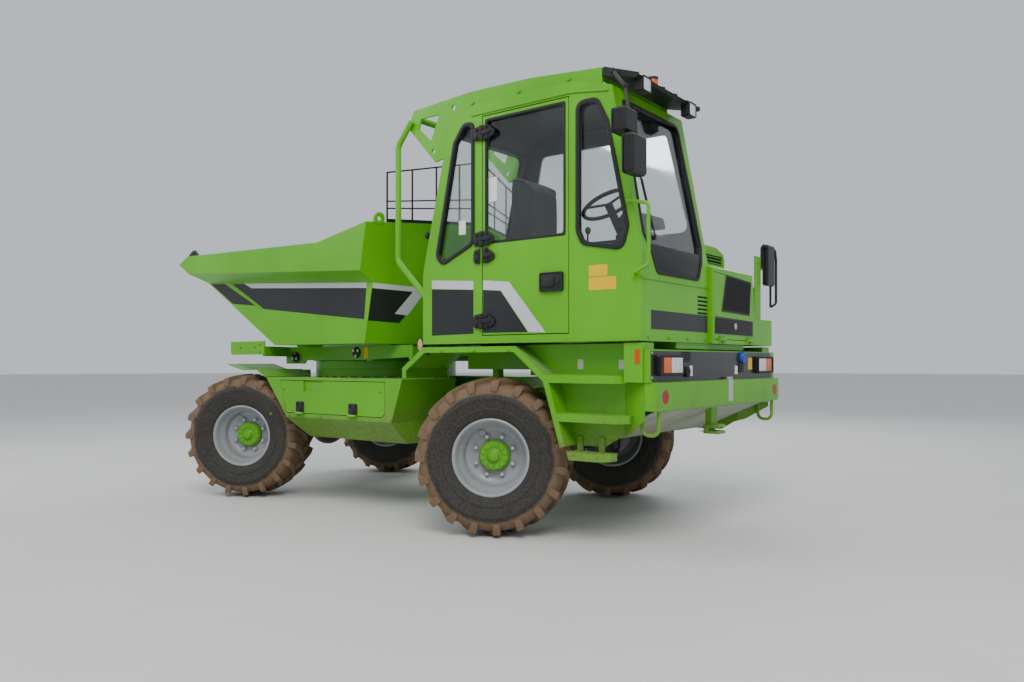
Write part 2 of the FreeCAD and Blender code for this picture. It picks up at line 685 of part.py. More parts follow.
def rear_top_edge(y):
    """X and Z of the middle of the rear wall's top edge at a distance from the centre line."""
    corner, normal = rear_plane(1)
    rise = (REAR_APEX_Z - REAR_TOP_Z) / (REAR_TOP_X - REAR_APEX_X)
    level = -SKIP_T / 2 + normal.x * corner.x - normal.y * (y - corner.y)
    level -= normal.z * (REAR_TOP_Z + rise * REAR_TOP_X - corner.z)
    x = level / (normal.x - normal.z * rise)
    return x, REAR_TOP_Z + rise * (REAR_TOP_X - x)


def skip():
    shell = skip_hull(0).cut(skip_hull(SKIP_T))
    top = [(LIP_X + 300, LIP_Z - 150), (LIP_X, LIP_Z), (LIP_TOP_X, LIP_TOP_Z), (KINK_X, KINK_Z)]
    top += [(REAR_TOP_X, REAR_TOP_Z), (REAR_APEX_X, REAR_APEX_Z), (REAR_APEX_X - 300, REAR_APEX_Z)]
    top += [(REAR_APEX_X - 300, 2800), (LIP_X + 300, 2800)]
    shell = shell.cut(across(top, -1300, 1300))
    pieces = [shell]
    for side in (-1, 1):
        y0, y1 = sided(side, LUG_Y, LUG_Y + LUG_T)
        lug = [(PIVOT_X - 330, SKIP_FLOOR + 2), (PIVOT_X + 10, SKIP_FLOOR + 88), (PIVOT_X + 48, PIVOT_Z + 10)]
        lug += [(PIVOT_X + 40, PIVOT_Z - 40), (PIVOT_X - 45, PIVOT_Z - 40), (PIVOT_X - 90, SKIP_FLOOR - 60)]
        pieces.append(across(lug, y0, y1))
        y0, y1 = sided(side, LUG_Y - 10, PLATE_Y + 12)
        pieces.append(rod((PIVOT_X, y0, PIVOT_Z), (PIVOT_X, y1, PIVOT_Z), PIVOT_R))
        y0, y1 = sided(side, EYE_CHEEK_Y, EYE_CHEEK_Y + CHEEK_T)
        cheek = [(EYE_X - 60, SKIP_FLOOR + 2), (EYE_X + 90, SKIP_FLOOR + 2), (EYE_X + 36, EYE_Z - 36)]
        cheek += [(EYE_X - 36, EYE_Z - 36)]
        pieces.append(across(cheek, y0, y1))
        y0, y1 = sided(side, EYE_CHEEK_Y + CHEEK_T - 1, EYE_CHEEK_Y + CHEEK_T + 10)
        pieces.append(rod((EYE_X, y0, EYE_Z), (EYE_X, y1, EYE_Z), TIP_PIN_R + 8))
    body = fuse(pieces)
    return body.cut(skip_hull(SKIP_T))


def skip_guard():
    """Black screen on the skip's rear edge: two wings of flat bar that meet in the middle."""
    mid_x, mid_z = rear_top_edge(0)
    end_x, end_z = rear_top_edge(GUARD_Y)
    length = hypot(GUARD_Y, end_x - mid_x)
    edge_slope = (REAR_APEX_Z - REAR_TOP_Z) / (REAR_TOP_X - REAR_APEX_X)
    lift = SEAT_GAP + GUARD_BAR_T / 2 * edge_slope
    half = GUARD_BAR_T / 2

    def level(share, s):
        """Height at a distance along the wing, at a share of the screen's own height there."""
        low = mid_z + (end_z - mid_z) * s / length + lift
        tall = GUARD_MID_H + (GUARD_END_H - GUARD_MID_H) * s / length
        return low + tall * share

    def rail(share, deep):
        ends = (0.0, length)
        line = [(s, level(share, s)) for s in ends] + [(s, level(share, s) + deep) for s in reversed(ends)]
        return across(line, -half, half)

    bars = [rail(0, 26), rail(0.26, 10), rail(0.40, 10), rail(1, -12)]
    for number in range(GUARD_POSTS):
        s = 6 + (length - 12) * number / (GUARD_POSTS - 1)
        top = min(level(1, s - 6), level(1, s + 6)) - 2
        bars.append(block(s - 6, s + 6, -half, half, level(0, s) + 5, top))
    wing = fuse(bars)
    wing.rotate(V(0, 0, 0), Z_AXIS, degrees(atan2(GUARD_Y, end_x - mid_x)))
    wing.translate(V(mid_x, 0, 0))
    return wing.fuse(mirrored(wing)).removeSplitter()


# Tip cylinder, drawn along its line from the turntable pin to the skip's eye

def cylinder_line():
    way = V(EYE_X - BARREL_X, 0, EYE_Z - BARREL_Z)
    return V(BARREL_X, 0, BARREL_Z), way.normalize(), V(EYE_X, 0, EYE_Z)


def tip_cylinder_barrel():
    base, way, eye = cylinder_line()
    reach = (eye - base).Length - BARREL_SHORT
    tube = Part.makeCylinder(BARREL_R, reach - BARREL_START, base + way * BARREL_START, way)
    neck = Part.makeCylinder(BARREL_NECK_R, BARREL_START + 5, base, way)
    boss = rod((base.x, -EYE_W / 2, base.z), (base.x, EYE_W / 2, base.z), TIP_PIN_R + 20)
    body = fuse([tube, neck, boss])
    body = body.cut(Part.makeCylinder(TIP_ROD_R + RUN_FIT, reach, base + way * (BARREL_START + 12), way))
    return body.cut(rod((base.x, -60, base.z), (base.x, 60, base.z), TIP_PIN_R + RUN_FIT))


def tip_cylinder_rod():
    base, way, eye = cylinder_line()
    start = base + way * (BARREL_START + 30)
    bar = Part.makeCylinder(TIP_ROD_R, (eye - start).Length - 24, start, way)
    boss = rod((eye.x, -EYE_W / 2, eye.z), (eye.x, EYE_W / 2, eye.z), TIP_PIN_R + 16)
    body = fuse([bar, boss])
    return body.cut(rod((eye.x, -60, eye.z), (eye.x, 60, eye.z), TIP_PIN_R))


# Cab

CAB_PROFILE = [
    (CAB_FRONT_X, SILL_Z), (CAB_FRONT_X, BELT_FRONT_Z), (-634.0, 1860.0), (-815.0, 2590.0), (-870.0, 2790.0),
    (-960.0, 2890.0), (-1100.0, ROOF_Z), (-1900.0, ROOF_Z), (-2194.0, 2860.0), (CAB_REAR_X, BELT_REAR_Z),
    (CAB_REAR_X, SILL_Z),
]


def inset_outline(points, wall):
    """Convex outline moved inwards by the wall, side by side."""
    count = len(points)
    area = sum(points[i][0] * points[(i + 1) % count][1] - points[(i + 1) % count][0] * points[i][1]
               for i in range(count))
    sense = 1 if area > 0 else -1
    lines = []
    for i in range(count):
        (x0, z0), (x1, z1) = points[i], points[(i + 1) % count]
        span = hypot(x1 - x0, z1 - z0)
        nx, nz = -(z1 - z0) / span * sense, (x1 - x0) / span * sense
        lines.append((x0 + nx * wall, z0 + nz * wall, x1 - x0, z1 - z0))
    moved = []
    for i in range(count):
        ax, az, adx, adz = lines[i - 1]
        bx, bz, bdx, bdz = lines[i]
        cross = adx * bdz - adz * bdx
        t = ((bx - ax) * bdz - (bz - az) * bdx) / cross
        moved.append((ax + adx * t, az + adz * t))
    return moved


FRONT_QUARTER = [(-1015.0, 2815.0), (-1094.0, 2810.0), (-1094.0, 1992.0), (-817.0, 1868.0), (-765.0, 1925.0),
                 (-930.0, 2700.0)]
REAR_QUARTER = [(-1949.0, 2790.0), (-2085.0, 2790.0), (-2160.0, 2645.0), (-2300.0, 1992.0), (-2265.0, 1862.0),
                (-1986.0, 1914.0), (-1949.0, 1998.0)]
FAR_WINDOW = [(-1000.0, 2790.0), (-2090.0, 2790.0), (-2270.0, 2060.0), (-860.0, 2060.0)]


def cab_hollow():
    outer = across(CAB_PROFILE, CAB_FAR_Y, CAB_NEAR_Y)
    inner = across(inset_outline(CAB_PROFILE, CAB_WALL), CAB_FAR_Y + CAB_WALL, CAB_NEAR_Y - CAB_WALL)
    return outer.cut(inner)


def windscreen_cuts(depth0, depth1, edge):
    """Openings in the front and rear walls, as outlines in Y and Z carried along X."""
    y0, y1 = CAB_FAR_Y + CAB_WALL + edge, CAB_NEAR_Y - CAB_WALL - edge
    front = [(y0, 1900 + edge), (y1, 1900 + edge), (y1 - 20, 2800 - edge), (y0 + 20, 2800 - edge)]
    rear = [(y0 + 90, 1700 + edge), (y1 - 140, 1700 + edge), (y1, 1950), (y1 - 30, 2810 - edge)]
    rear += [(y0 + 30, 2810 - edge), (y0, 1950)]
    return along(front, CAB_FRONT_X + depth1, -1150), along(rear, -2150, CAB_REAR_X - depth1)


def door_outline(gap):
    """The near door's outer edge; the opening in the wall is this with no gap."""
    x0, x1 = DOOR_FRONT_X - gap, DOOR_REAR_X + gap
    return [(x0, DOOR_BOTTOM + gap), (x0, DOOR_TOP - gap), (x1, DOOR_TOP - gap), (x1, DOOR_BOTTOM + gap)]


def cab_shell():
    body = cab_hollow().common(block(-3000, 0, 0, 2000, 0, ROOF_SPLIT))
    cuts = [across(door_outline(0), CAB_NEAR_Y - CAB_WALL - 50, CAB_NEAR_Y + 50)]
    for window in (FRONT_QUARTER, REAR_QUARTER):
        cuts.append(across(window, CAB_NEAR_Y - CAB_WALL - 50, CAB_NEAR_Y + 50))
    cuts.append(across(FAR_WINDOW, CAB_FAR_Y - 50, CAB_FAR_Y + CAB_WALL + 50))
    cuts += windscreen_cuts(60, 60, 20)
    for number in range(LOUVRES):
        z = LOUVRE_Z + number * LOUVRE_PITCH
        slot = block(CAB_REAR_X - 5, CAB_REAR_X + 8, LOUVRE_Y, LOUVRE_Y + LOUVRE_W, z, z + LOUVRE_PITCH / 2)
        cuts.append(slot)
    body = cut(body, cuts)
    hinges = [fixed for fixed, moving in door_hinges()]
    return fuse([body] + hinges)


def cab_roof():
    return cab_hollow().common(block(-3000, 0, 0, 2000, ROOF_SPLIT + SEAT_GAP, 4000))


def cab_glass():
    """Fixed panes, each set in the middle of its wall."""
    mid_near = CAB_NEAR_Y - CAB_WALL / 2
    mid_far = CAB_FAR_Y + CAB_WALL / 2
    panes = []
    for window in (FRONT_QUARTER, REAR_QUARTER):
        panes.append(across(window, mid_near - GLASS_T / 2, mid_near + GLASS_T / 2))
    panes.append(across(FAR_WINDOW, mid_far - GLASS_T / 2, mid_far + GLASS_T / 2))
    slab = across(inset_outline(CAB_PROFILE, CAB_WALL / 2 - GLASS_T / 2), -500, 2000)
    slab = slab.cut(across(inset_outline(CAB_PROFILE, CAB_WALL / 2 + GLASS_T / 2), -500, 2000))
    panes += [slab.common(opening) for opening in windscreen_cuts(60, 60, 20)]
    return Part.makeCompound(panes)


def cab_floor():
    edge = CAB_WALL + 3
    low = SILL_Z + CAB_WALL + SEAT_GAP
    return block(CAB_REAR_X + edge, CAB_FRONT_X - edge, CAB_FAR_Y + edge, CAB_NEAR_Y - edge, low, FLOOR_TOP)


def door_hinges():
    """Three hinges on the near door's skip-side edge."""
    pairs = []
    for z in (1450.0, 2010.0, 2730.0):
        point = (DOOR_FRONT_X - DOOR_GAP / 2, CAB_NEAR_Y + HINGE_R, z)
        pairs.append(hinge(point, (0, 0, 1), (1, 0, 0), 96, 60, 30))
    return pairs


def cab_door():
    panel = across(door_outline(DOOR_GAP), CAB_NEAR_Y - DOOR_T, CAB_NEAR_Y)
    panel = panel.cut(across(door_window(0), CAB_NEAR_Y - DOOR_T - 10, CAB_NEAR_Y + 10))
    handle = block(-1835, -1690, CAB_NEAR_Y - 2, CAB_NEAR_Y + 16, 1630, 1690)
    return fuse([panel, handle] + [moving for fixed, moving in door_hinges()])


def door_window(grow):
    edge = DOOR_GAP + WINDOW_EDGE - grow
    x0, x1 = DOOR_FRONT_X - edge, DOOR_REAR_X + edge
    z0, z1 = WINDOW_BOTTOM - grow, DOOR_TOP - edge
    return [(x0, z0), (x0, z1), (x1, z1), (x1, z0)]


def door_glass():
    middle = CAB_NEAR_Y - DOOR_T / 2
    return across(door_window(0), middle - GLASS_T / 2, middle + GLASS_T / 2)


def seat_base():
    def part(x0, x1, half, z0, z1):
        return block(SEAT_X + x0, SEAT_X + x1, SEAT_Y - half, SEAT_Y + half, z0, z1)

    top = FLOOR_TOP + SEAT_H
    box = part(-190, 190, 180, FLOOR_TOP + SEAT_GAP, top)
    pan = part(-240, 250, 240, top, top + SEAT_PAN_T)
    back = part(SEAT_BACK_X, SEAT_BACK_X + 20, 200, top, top + 570)
    tie = part(240, SEAT_BACK_X + 20, 120, top, top + 20)
    return fuse([box, pan, tie, back])


def seat_cushion():
    low = FLOOR_TOP + SEAT_H + SEAT_PAN_T + SEAT_GAP
    return block(SEAT_X - 250, SEAT_X + 200, SEAT_Y - 250, SEAT_Y + 250, low, low + 120)


def seat_back():
    low = FLOOR_TOP + SEAT_H + 110
    face, high = SEAT_X + SEAT_BACK_X - SEAT_GAP, low + 560
    outline = [(face - 120, low), (face, low), (face, high), (face - 100, high)]
    return across(outline, SEAT_Y - 240, SEAT_Y + 240)


def steering_console():
    low = FLOOR_TOP + SEAT_GAP
    outline = [(-2250, low), (-2060, low), (-2010, 2000), (-2110, 2060), (-2230, 2000)]
    foot = across(outline, SEAT_Y - 130, SEAT_Y + 130)
    way = V(0.43, 0, 0.9).normalize()
    centre = V(STEER_WHEEL[0], SEAT_Y, STEER_WHEEL[1])
    column = Part.makeCylinder(28, 330, centre - way * 330, way)
    wheel = Part.makeTorus(180, 14, centre, way)
    spokes = []
    side = V(0, 1, 0)
    third = way.cross(side)
    for turn in (90, 210, 330):
        out = side * cos(radians(turn)) + third * sin(radians(turn))
        spokes.append(Part.makeCylinder(9, 180, centre, out))
    return fuse([foot, column, wheel] + spokes)


def rops_frame():
    """Two side plates on the cab's shoulders, joined by three tubes, with a slit over the roof."""
    cab_line = inset_outline(CAB_PROFILE, -SEAT_GAP)
    pillar_low, pillar_high = cab_line[3], cab_line[4]
    share = (ROPS_FOOT_Z - pillar_low[1]) / (pillar_high[1] - pillar_low[1])
    foot = (pillar_low[0] + (pillar_high[0] - pillar_low[0]) * share, ROPS_FOOT_Z)
    edge, drop = cab_line[7], cab_line[8]
    tail = (ROPS_REAR_X, edge[1] + (drop[1] - edge[1]) * (ROPS_REAR_X - edge[0]) / (drop[0] - edge[0]))
    top = ROOF_Z + ROPS_RISE
    outline = [(ROPS_REAR_X, top - 57), (-1542.0, top - 10), (-1025.0, top), (-485.0, top - 34)]
    outline += [(-424.0, top - 148), (-695.0, ROPS_FOOT_Z - 23), foot] + cab_line[4:7]
    roof = cab_line[6][1]
    outline += [(-1210.0, roof), (-1225.0, roof + ROPS_SLIT), (-1885.0, roof + ROPS_SLIT)]
    outline += [(-1900.0, roof), tail]
    opening = [(-531.0, top - 174), (-556.0, top - 105), (-735.0, top - 105), (-655.0, top - 282)]
    holes = [(-872, top - 81, 20), (-678, top - 361, 18)]
    pieces = []
    for y0 in (CAB_FAR_Y + 12, ROPS_Y - ROPS_T):
        low, high = y0 - 5, y0 + ROPS_T + 5
        plate = across(outline, y0, y0 + ROPS_T).cut(across(opening, low, high))
        pieces.append(cut(plate, [rod((x, low, z), (x, high, z), r) for x, z, r in holes]))
    for x, z in ((-490, top - 87), (-950, top - 50), (-2050, top - 87)):
        pieces.append(rod((x, CAB_FAR_Y + 14, z), (x, ROPS_Y - 2, z), ROPS_TUBE_R))
    return fuse(pieces)


def light_bar():
    """Black visor over the rear windscreen, with the beacon and the work lights."""
    edge, top = ROPS_REAR_X - SEAT_GAP, ROOF_Z + ROPS_RISE - 62
    visor = [(edge, top), (edge, top - 45), (VISOR_X + 20, top - 105), (VISOR_X, top - 90)]
    pieces = [across(visor, CAB_FAR_Y + 20, ROPS_Y)]
    for radius, low, height in ((BEACON_R + 4, -45, 30), (BEACON_R, -35, BEACON_H)):
        pieces.append(Part.makeCylinder(radius, height, V(BEACON_X, BEACON_Y, top + low)))
    for y in WORK_LIGHT_Y:
        pieces.append(bevelled_block(VISOR_X, VISOR_X + 60, y - 55, y + 55, top - 175, top - 80, 10))
    return fuse(pieces)


def handrails():
    """Front rail from the roll-over frame to the cab front, and the grab handle at the rear corner."""
    y = ROPS_Y + SEAT_GAP + RAIL_TUBE_R
    front = bent_tube([(-480, y, 2940), (-346, y, 2780), (-346, y, 1921), (-720, y, 1550)], RAIL_TUBE_R, 70)
    front = front.cut(block(-900, CAB_FRONT_X + SEAT_GAP, 900, 1100, 1400, 1800))
    wall, out = CAB_NEAR_Y + SEAT_GAP, CAB_NEAR_Y + 36
    handle = [(-2310, wall, 2137), (-2310, out, 2137), (-2460, out, 2105), (-2462, out, 1745)]
    handle += [(-2360, out, 1700), (-2360, wall, 1700)]
    return Part.makeCompound([front, bent_tube(handle, MIRROR_TUBE_R, 24)])


def mirrors():
    """Near pair of mirrors on an arm from the visor, and the far one in its loop on a holed post."""
    start = ROPS_Y + SEAT_GAP
    path = [(-2200, start, 2940), (-2200, start + 50, 2940), (-2330, 1130, 2800), (-2430, 1200, 2420)]
    arm = bent_tube(path + [(-2430, 1200, 2290)], MIRROR_TUBE_R, 40)
    wide = bevelled_block(-2420, -2330, 1130, 1290, 2490, 2640, 16)
    tall = bevelled_block(-2470, -2400, 1110, 1290, 2250, 2480, 16)
    near = fuse([arm, wide, tall])
    foot, face = SHELF_TOP + SEAT_GAP, MIRROR_FACE_X
    post = block(face, face + 8, -860, -740, foot, 1986)
    post = cut(post, [rod((face - 5, -800, z), (face + 15, -800, z), 9) for z in MIRROR_POST_HOLES])
    gusset = across([(face + 4, foot), (face + 4, 1880), (face + 160, foot)], -860, -852)
    x = face + 4
    path = [(x, -855, 1890), (x, -885, 1890), (x, -885, 2080), (x, -1080, 2036), (x, -1080, 1610)]
    loop = bent_tube(path, LOOP_TUBE_R, 22)
    head = bevelled_block(face - 40, face, -1062, -905, 1770, 2090, 12)
    clamps = [block(face - 20, face + 8, -1084, -1050, z, z + 26) for z in (1830, 1990)]
    return Part.makeCompound([near, fuse([post, gusset, loop, head] + clamps)])


# Engine hood

def hood_section(inset):
    """Cross-section in Y and Z: a tall part beside the cab and a low shelf outside it, open below."""
    section = [(HOOD_NEAR_Y, SILL_Z), (HOOD_NEAR_Y, HOOD_TOP), (HOOD_SHOULDER_Y, HOOD_FAR_TOP)]
    section += [(HOOD_WAIST_Y, SHELF_TOP), (HOOD_FAR_Y, SHELF_TOP), (HOOD_FAR_Y, SILL_Z)]
    if inset:
        section = inset_outline(section, inset)
        section[0] = (section[0][0], SILL_Z - 1)
        section[-1] = (section[-1][0], SILL_Z - 1)
    return section


def hood_hull(inset):
    """The hood's outside, or its hollow when narrowed by the wall, with the sloping rear top."""
    hull = along(hood_section(inset), HOOD_REAR_X + inset, HOOD_FRONT_X - inset)
    high = HOOD_TOP - inset
    slope = [(HOOD_REAR_X, high - HOOD_SLOPE_DROP), (HOOD_SLOPE_X, high), (HOOD_SLOPE_X, high + 200)]
    return hull.cut(across(slope + [(HOOD_REAR_X, high + 200)], HOOD_FAR_Y, HOOD_NEAR_Y))


def intake():
    """Raised air intake on the hood, with slats in its rear face."""
    low, top, near = HOOD_FAR_TOP - 8, HOOD_TOP + INTAKE_H, HOOD_NEAR_Y - 12
    outline = [(near, low), (near, top - 40), (near - 45, top), (HOOD_SHOULDER_Y + 150, top)]
    outline += [(HOOD_SHOULDER_Y + 20, top - 40), (HOOD_SHOULDER_Y - 4, top - 80), (HOOD_SHOULDER_Y - 4, low)]
    body = along(outline, HOOD_SLOPE_X, INTAKE_FRONT_X)
    mouth_low, mouth_high = HOOD_TOP + 12, top - 62
    far, deep = HOOD_SHOULDER_Y + 30, HOOD_SLOPE_X + 26
    pocket = block(HOOD_SLOPE_X - 5, deep, far, near - 30, mouth_low, mouth_high)
    slats = []
    for number in range(INTAKE_SLATS):
        z = mouth_low + (mouth_high - mouth_low) * (number + 0.5) / INTAKE_SLATS
        slats.append(block(HOOD_SLOPE_X + 6, deep + 1, far - 1, near - 29, z - 3, z + 3))
    return fuse([body.cut(pocket)] + slats)


def hood_door_outline(gap):
    """Rear door's edge in Y and Z, following the tall part of the hood; the opening is this with no gap."""
    top, low = HOOD_TOP - HOOD_SLOPE_DROP - HOOD_DOOR_MARGIN, SILL_Z + HOOD_DOOR_LOW
    fall = HOOD_TOP - HOOD_FAR_TOP
    outline = [(HOOD_NEAR_Y - HOOD_DOOR_MARGIN, low), (HOOD_NEAR_Y - HOOD_DOOR_MARGIN, top)]
    waist_y = HOOD_WAIST_Y + HOOD_DOOR_MARGIN
    outline += [(HOOD_SHOULDER_Y + HOOD_DOOR_MARGIN, top - fall), (waist_y, SHELF_TOP), (waist_y, low)]
    return inset_outline(outline, gap) if gap else outline


def hood_hinges():
    pairs = []
    for y in (-60.0, -560.0):
        point = (HOOD_REAR_X - HINGE_R, y, SILL_Z + HOOD_DOOR_LOW + HOOD_DOOR_GAP / 2)
        pairs.append(hinge(point, (0, 1, 0), (0, 0, -1), 96, 26, 30))
    return pairs


def hood():
    body = hood_hull(0).fuse(intake()).cut(hood_hull(HOOD_T))
    body = body.cut(along(hood_door_outline(0), HOOD_REAR_X - 50, HOOD_REAR_X + HOOD_T + 1))
    return fuse([body] + [fixed for fixed, moving in hood_hinges()])


def hood_door():
    panel = along(hood_door_outline(HOOD_DOOR_GAP), HOOD_REAR_X, HOOD_REAR_X + HOOD_T - 2)
    return fuse([panel] + [moving for fixed, moving in hood_hinges()])


def engine_block():
    return block(*ENGINE_BOX, SILL_Z, SILL_Z + ENGINE_H)


# Rear end

def rear_bumper():
    """Closed box bumper with a tow loop of round bar and its bracket under each end."""
    back_x = CHASSIS_REAR_X - SEAT_GAP
    box = block(BUMPER_X, back_x, -BUMPER_Y, BUMPER_Y, BUMPER_BOTTOM, BUMPER_TOP)
    hollow = block(BUMPER_X + BUMPER_T, back_x - BUMPER_T, -BUMPER_Y + BUMPER_T, BUMPER_Y - BUMPER_T,
                   BUMPER_BOTTOM + BUMPER_T, BUMPER_TOP - BUMPER_T)
    loops = []
    for side in (-1, 1):
        y = side * LOOP_Y
        rear, front, top = BUMPER_X + 25, BUMPER_X + 135, BUMPER_BOTTOM + 4
        path = [(rear, y, top), (rear, y, LOOP_LOW), (front, y, LOOP_LOW), (front, y, top)]
        loops.append(bent_tube(path, LOOP_R, 45))
        edge, high = LOOP_R + 3, BUMPER_BOTTOM + BUMPER_T
        loops.append(block(back_x - 1, front + edge, y - edge, y + edge, BUMPER_BOTTOM, high))
    return fuse([box.cut(hollow)] + loops)


def lamp_panel():
    low, face = BUMPER_TOP + SEAT_GAP, CHASSIS_REAR_X - 40
    panel = block(face, CHASSIS_REAR_X + 2 - SEAT_GAP, -LAMP_PANEL_Y, LAMP_PANEL_Y, low, LAMP_PANEL_TOP)
    lamps = []
    for side in (-1, 1):
        y0, y1 = sided(side, LAMP_Y - LAMP_W / 2, LAMP_Y + LAMP_W / 2)
        lamps.append(bevelled_block(face - 26, face + 20, y0, y1, LAMP_LOW, LAMP_LOW + LAMP_H, 12))
    return fuse([panel] + lamps)


def belly_plate():
    z = BUMPER_BOTTOM - SEAT_GAP
    front_z = BELLY_FRONT_Z + 7
    top = [(-2470.0, z), (-2405.0, z), (BELLY_FRONT_X, front_z)]
    low = [(BELLY_FRONT_X, front_z - BELLY_T), (-2409.0, z - BELLY_T), (-2470.0, z - BELLY_T)]
    plate = across(top + low, -BELLY_Y, BELLY_Y)
    return plate.cut(block(-2500, -2345, -51, 51, 600, 900))


# Side boxes, hatches and fenders

def side_box():
    section = [(BOX_INNER_Y, BOX_TOP), (BOX_Y, BOX_TOP), (BOX_Y, BOX_FOLD), (BOX_BOTTOM_Y, BOX_BOTTOM)]
    body = along(section + [(BOX_INNER_Y, BOX_BOTTOM)], BOX_REAR_X, BOX_FRONT_X)
    under = BOX_BOTTOM - 10
    nose = [(BOX_FRONT_X, BOX_TOP + 10), (BOX_FRONT_X, BOX_TOP), (955.0, 740.0), (BOX_FRONT_LOW_X, 700.0)]
    nose += [(840.0, BOX_BOTTOM), (840.0, under), (BOX_FRONT_X + 50, under), (BOX_FRONT_X + 50, BOX_TOP + 10)]
    tail = [(BOX_REAR_X - 10, BOX_TOP), (BOX_REAR_X, BOX_TOP), (-300.0, BOX_FOLD), (-300.0, under)]
    tail += [(BOX_REAR_X - 10, under)]
    drum = Part.makeCylinder(DRUM_R + SEAT_GAP, 200, V(SLEW_X, 0, RAIL_TOP - 20))
    body = cut(body, [across(nose, 0, 1200), across(tail, 0, 1200), drum])
    recess = across(hatch_outline(0), BOX_Y - HATCH_T - BOX_DEPTH, BOX_Y + 10)
    return body.cut(recess)


def hatch_outline(gap):
    top = BOX_TOP - 20
    rear = [(HATCH_REAR_X + gap, HATCH_BOTTOM + 30 + gap), (HATCH_REAR_X + gap, top - gap)]
    front = [(HATCH_FRONT_X + 40 - gap, top - gap), (HATCH_FRONT_X - gap - 40, HATCH_BOTTOM + gap)]
    return rear + front + [(HATCH_REAR_X + 30 + gap, HATCH_BOTTOM + gap)]


def hatch_hinges():
    pairs = []
    for x in (120.0, 760.0):
        point = (x, BOX_Y + HINGE_R, HATCH_BOTTOM + HATCH_GAP / 2)
        pairs.append(hinge(point, (1, 0, 0), (0, 0, -1), 90, 24, 28))
    return pairs


def hatch():
    panel = across(hatch_outline(HATCH_GAP), BOX_Y - HATCH_T, BOX_Y)
    grip = block(480, 720, BOX_Y - 14, BOX_Y + 10, BOX_TOP - 110, BOX_TOP)
    return fuse([panel.cut(grip)] + [moving for fixed, moving in hatch_hinges()])


def side_boxes():
    near = fuse([side_box()] + [fixed for fixed, moving in hatch_hinges()])
    return Part.makeCompound([near, mirrored(near)])


def front_fender():
    """Bent sheet over the front wheel on a leg from the rail; its height follows the tyre."""
    top = 2 * TYRE_R
    line = [(AXLE_FRONT_X - 430, top - 18), (AXLE_FRONT_X - 310, top + FENDER_CLEAR)]
    line += [(AXLE_FRONT_X - 95, top + FENDER_CLEAR), (AXLE_FRONT_X + 115, top + FENDER_CLEAR + 48)]
    sheet = across(line + shifted_line(line, -FENDER_T)[::-1], FENDER_INNER_Y, BOX_Y)
    leg_x, leg_top = AXLE_FRONT_X - 155, top + FENDER_CLEAR - FENDER_T
    post = block(leg_x, leg_x + POST_W, RAIL_Y - 20, FENDER_INNER_Y + 60, leg_top - 20, leg_top + 1)
    leg = block(leg_x, leg_x + POST_W, RAIL_Y - 20, RAIL_Y + 20, RAIL_TOP + SEAT_GAP, leg_top)
    return fuse([sheet, post, leg])


ARCH_LINE = [(-412.0, 1056.0), (-412.0, 1130.0), (-623.0, 1280.0), (-1456.0, 1280.0), (-1715.0, 1071.0),
             (-1850.0, 640.0)]


def rear_arch():
    """Bent sheet round the rear wheel with a lip on its outer edge."""
    sheet = across(ARCH_LINE + shifted_line(ARCH_LINE, FENDER_T)[::-1], FENDER_INNER_Y, BOX_Y)
    lip = across(ARCH_LINE + shifted_line(ARCH_LINE, ARCH_LIP)[::-1], BOX_Y - FENDER_T, BOX_Y)
    return fuse([sheet, lip])


def wheel_space():
    """The wheel's side of the arch, which the wall and the steps stop short of."""
    line = shifted_line(ARCH_LINE, -SEAT_GAP)
    return across(line + [(-1900.0, 480.0), (-412.0, 480.0)], 0, 2 * BOX_Y)


def outer_wall_line(gap):
    """Outer face of the wall behind the steps, in X and Y from rear to front, moved outwards by a gap."""
    y = WALL_Y + FENDER_T + gap
    return [(CHASSIS_REAR_X, BUMPER_Y + gap), (WALL_BEND_X, y), (-1400.0, y)]


def step_wall():
    """Wall behind the steps, bent out to the bumper's end, and the corner post above the bumper."""
    top = SILL_Z - 10
    outline = [(-1430.0, top), (CHASSIS_REAR_X, top), (CHASSIS_REAR_X, 826.0), (-2250.0, 725.0)]
    outline += [(-2165.0, 700.0), (-2060.0, 637.0), (-1840.0, 637.0)]
    plan = [(-1400.0, WALL_Y), (WALL_BEND_X + 3, WALL_Y), (CHASSIS_REAR_X, BUMPER_Y - FENDER_T)]
    low = upright(plan + outer_wall_line(0), 500, BUMPER_TOP)
    x0, x1 = CHASSIS_REAR_X + 2, CHASSIS_REAR_X + 12
    high = block(x0, -1400, WALL_Y, WALL_Y + FENDER_T, BUMPER_TOP - 1, SILL_Z)
    sheet = fuse([low, high]).common(across(outline, 0, 2 * BOX_Y)).cut(wheel_space())
    z0 = BUMPER_TOP + SEAT_GAP
    back = block(x0, x1, WALL_Y, CORNER_Y, z0, top)
    corner = block(x0, CORNER_X, CORNER_Y - FENDER_T, CORNER_Y, z0, top)
    turn_in = block(CORNER_X - FENDER_T, CORNER_X, WALL_Y + 1, CORNER_Y, z0, top)
    return fuse([sheet, back, corner, turn_in])


# Front end, rear end and top of each step
STEPS = [(-1680.0, -2203.0, 1090.0), (-1760.0, -2215.0, 845.0), (-1835.0, -2083.0, 605.0)]


def steps():
    """Three treads outside the wall, each with its rear outer corner cut off."""
    inside = upright(outer_wall_line(SEAT_GAP) + [(-1400.0, 0.0), (CHASSIS_REAR_X, 0.0)], 0, SILL_Z)
    treads = []
    for front_x, rear_x, top in STEPS:
        end_x = rear_x - STEP_BEVEL
        plan = [(front_x, WALL_Y), (front_x, BOX_Y), (rear_x, BOX_Y)]
        plan += [(end_x, BOX_Y - STEP_BEVEL), (end_x, WALL_Y)]
        tread = upright(plan, top - STEP_T, top)
        treads.append(cut(tread, [inside, wheel_space()]))
    return treads


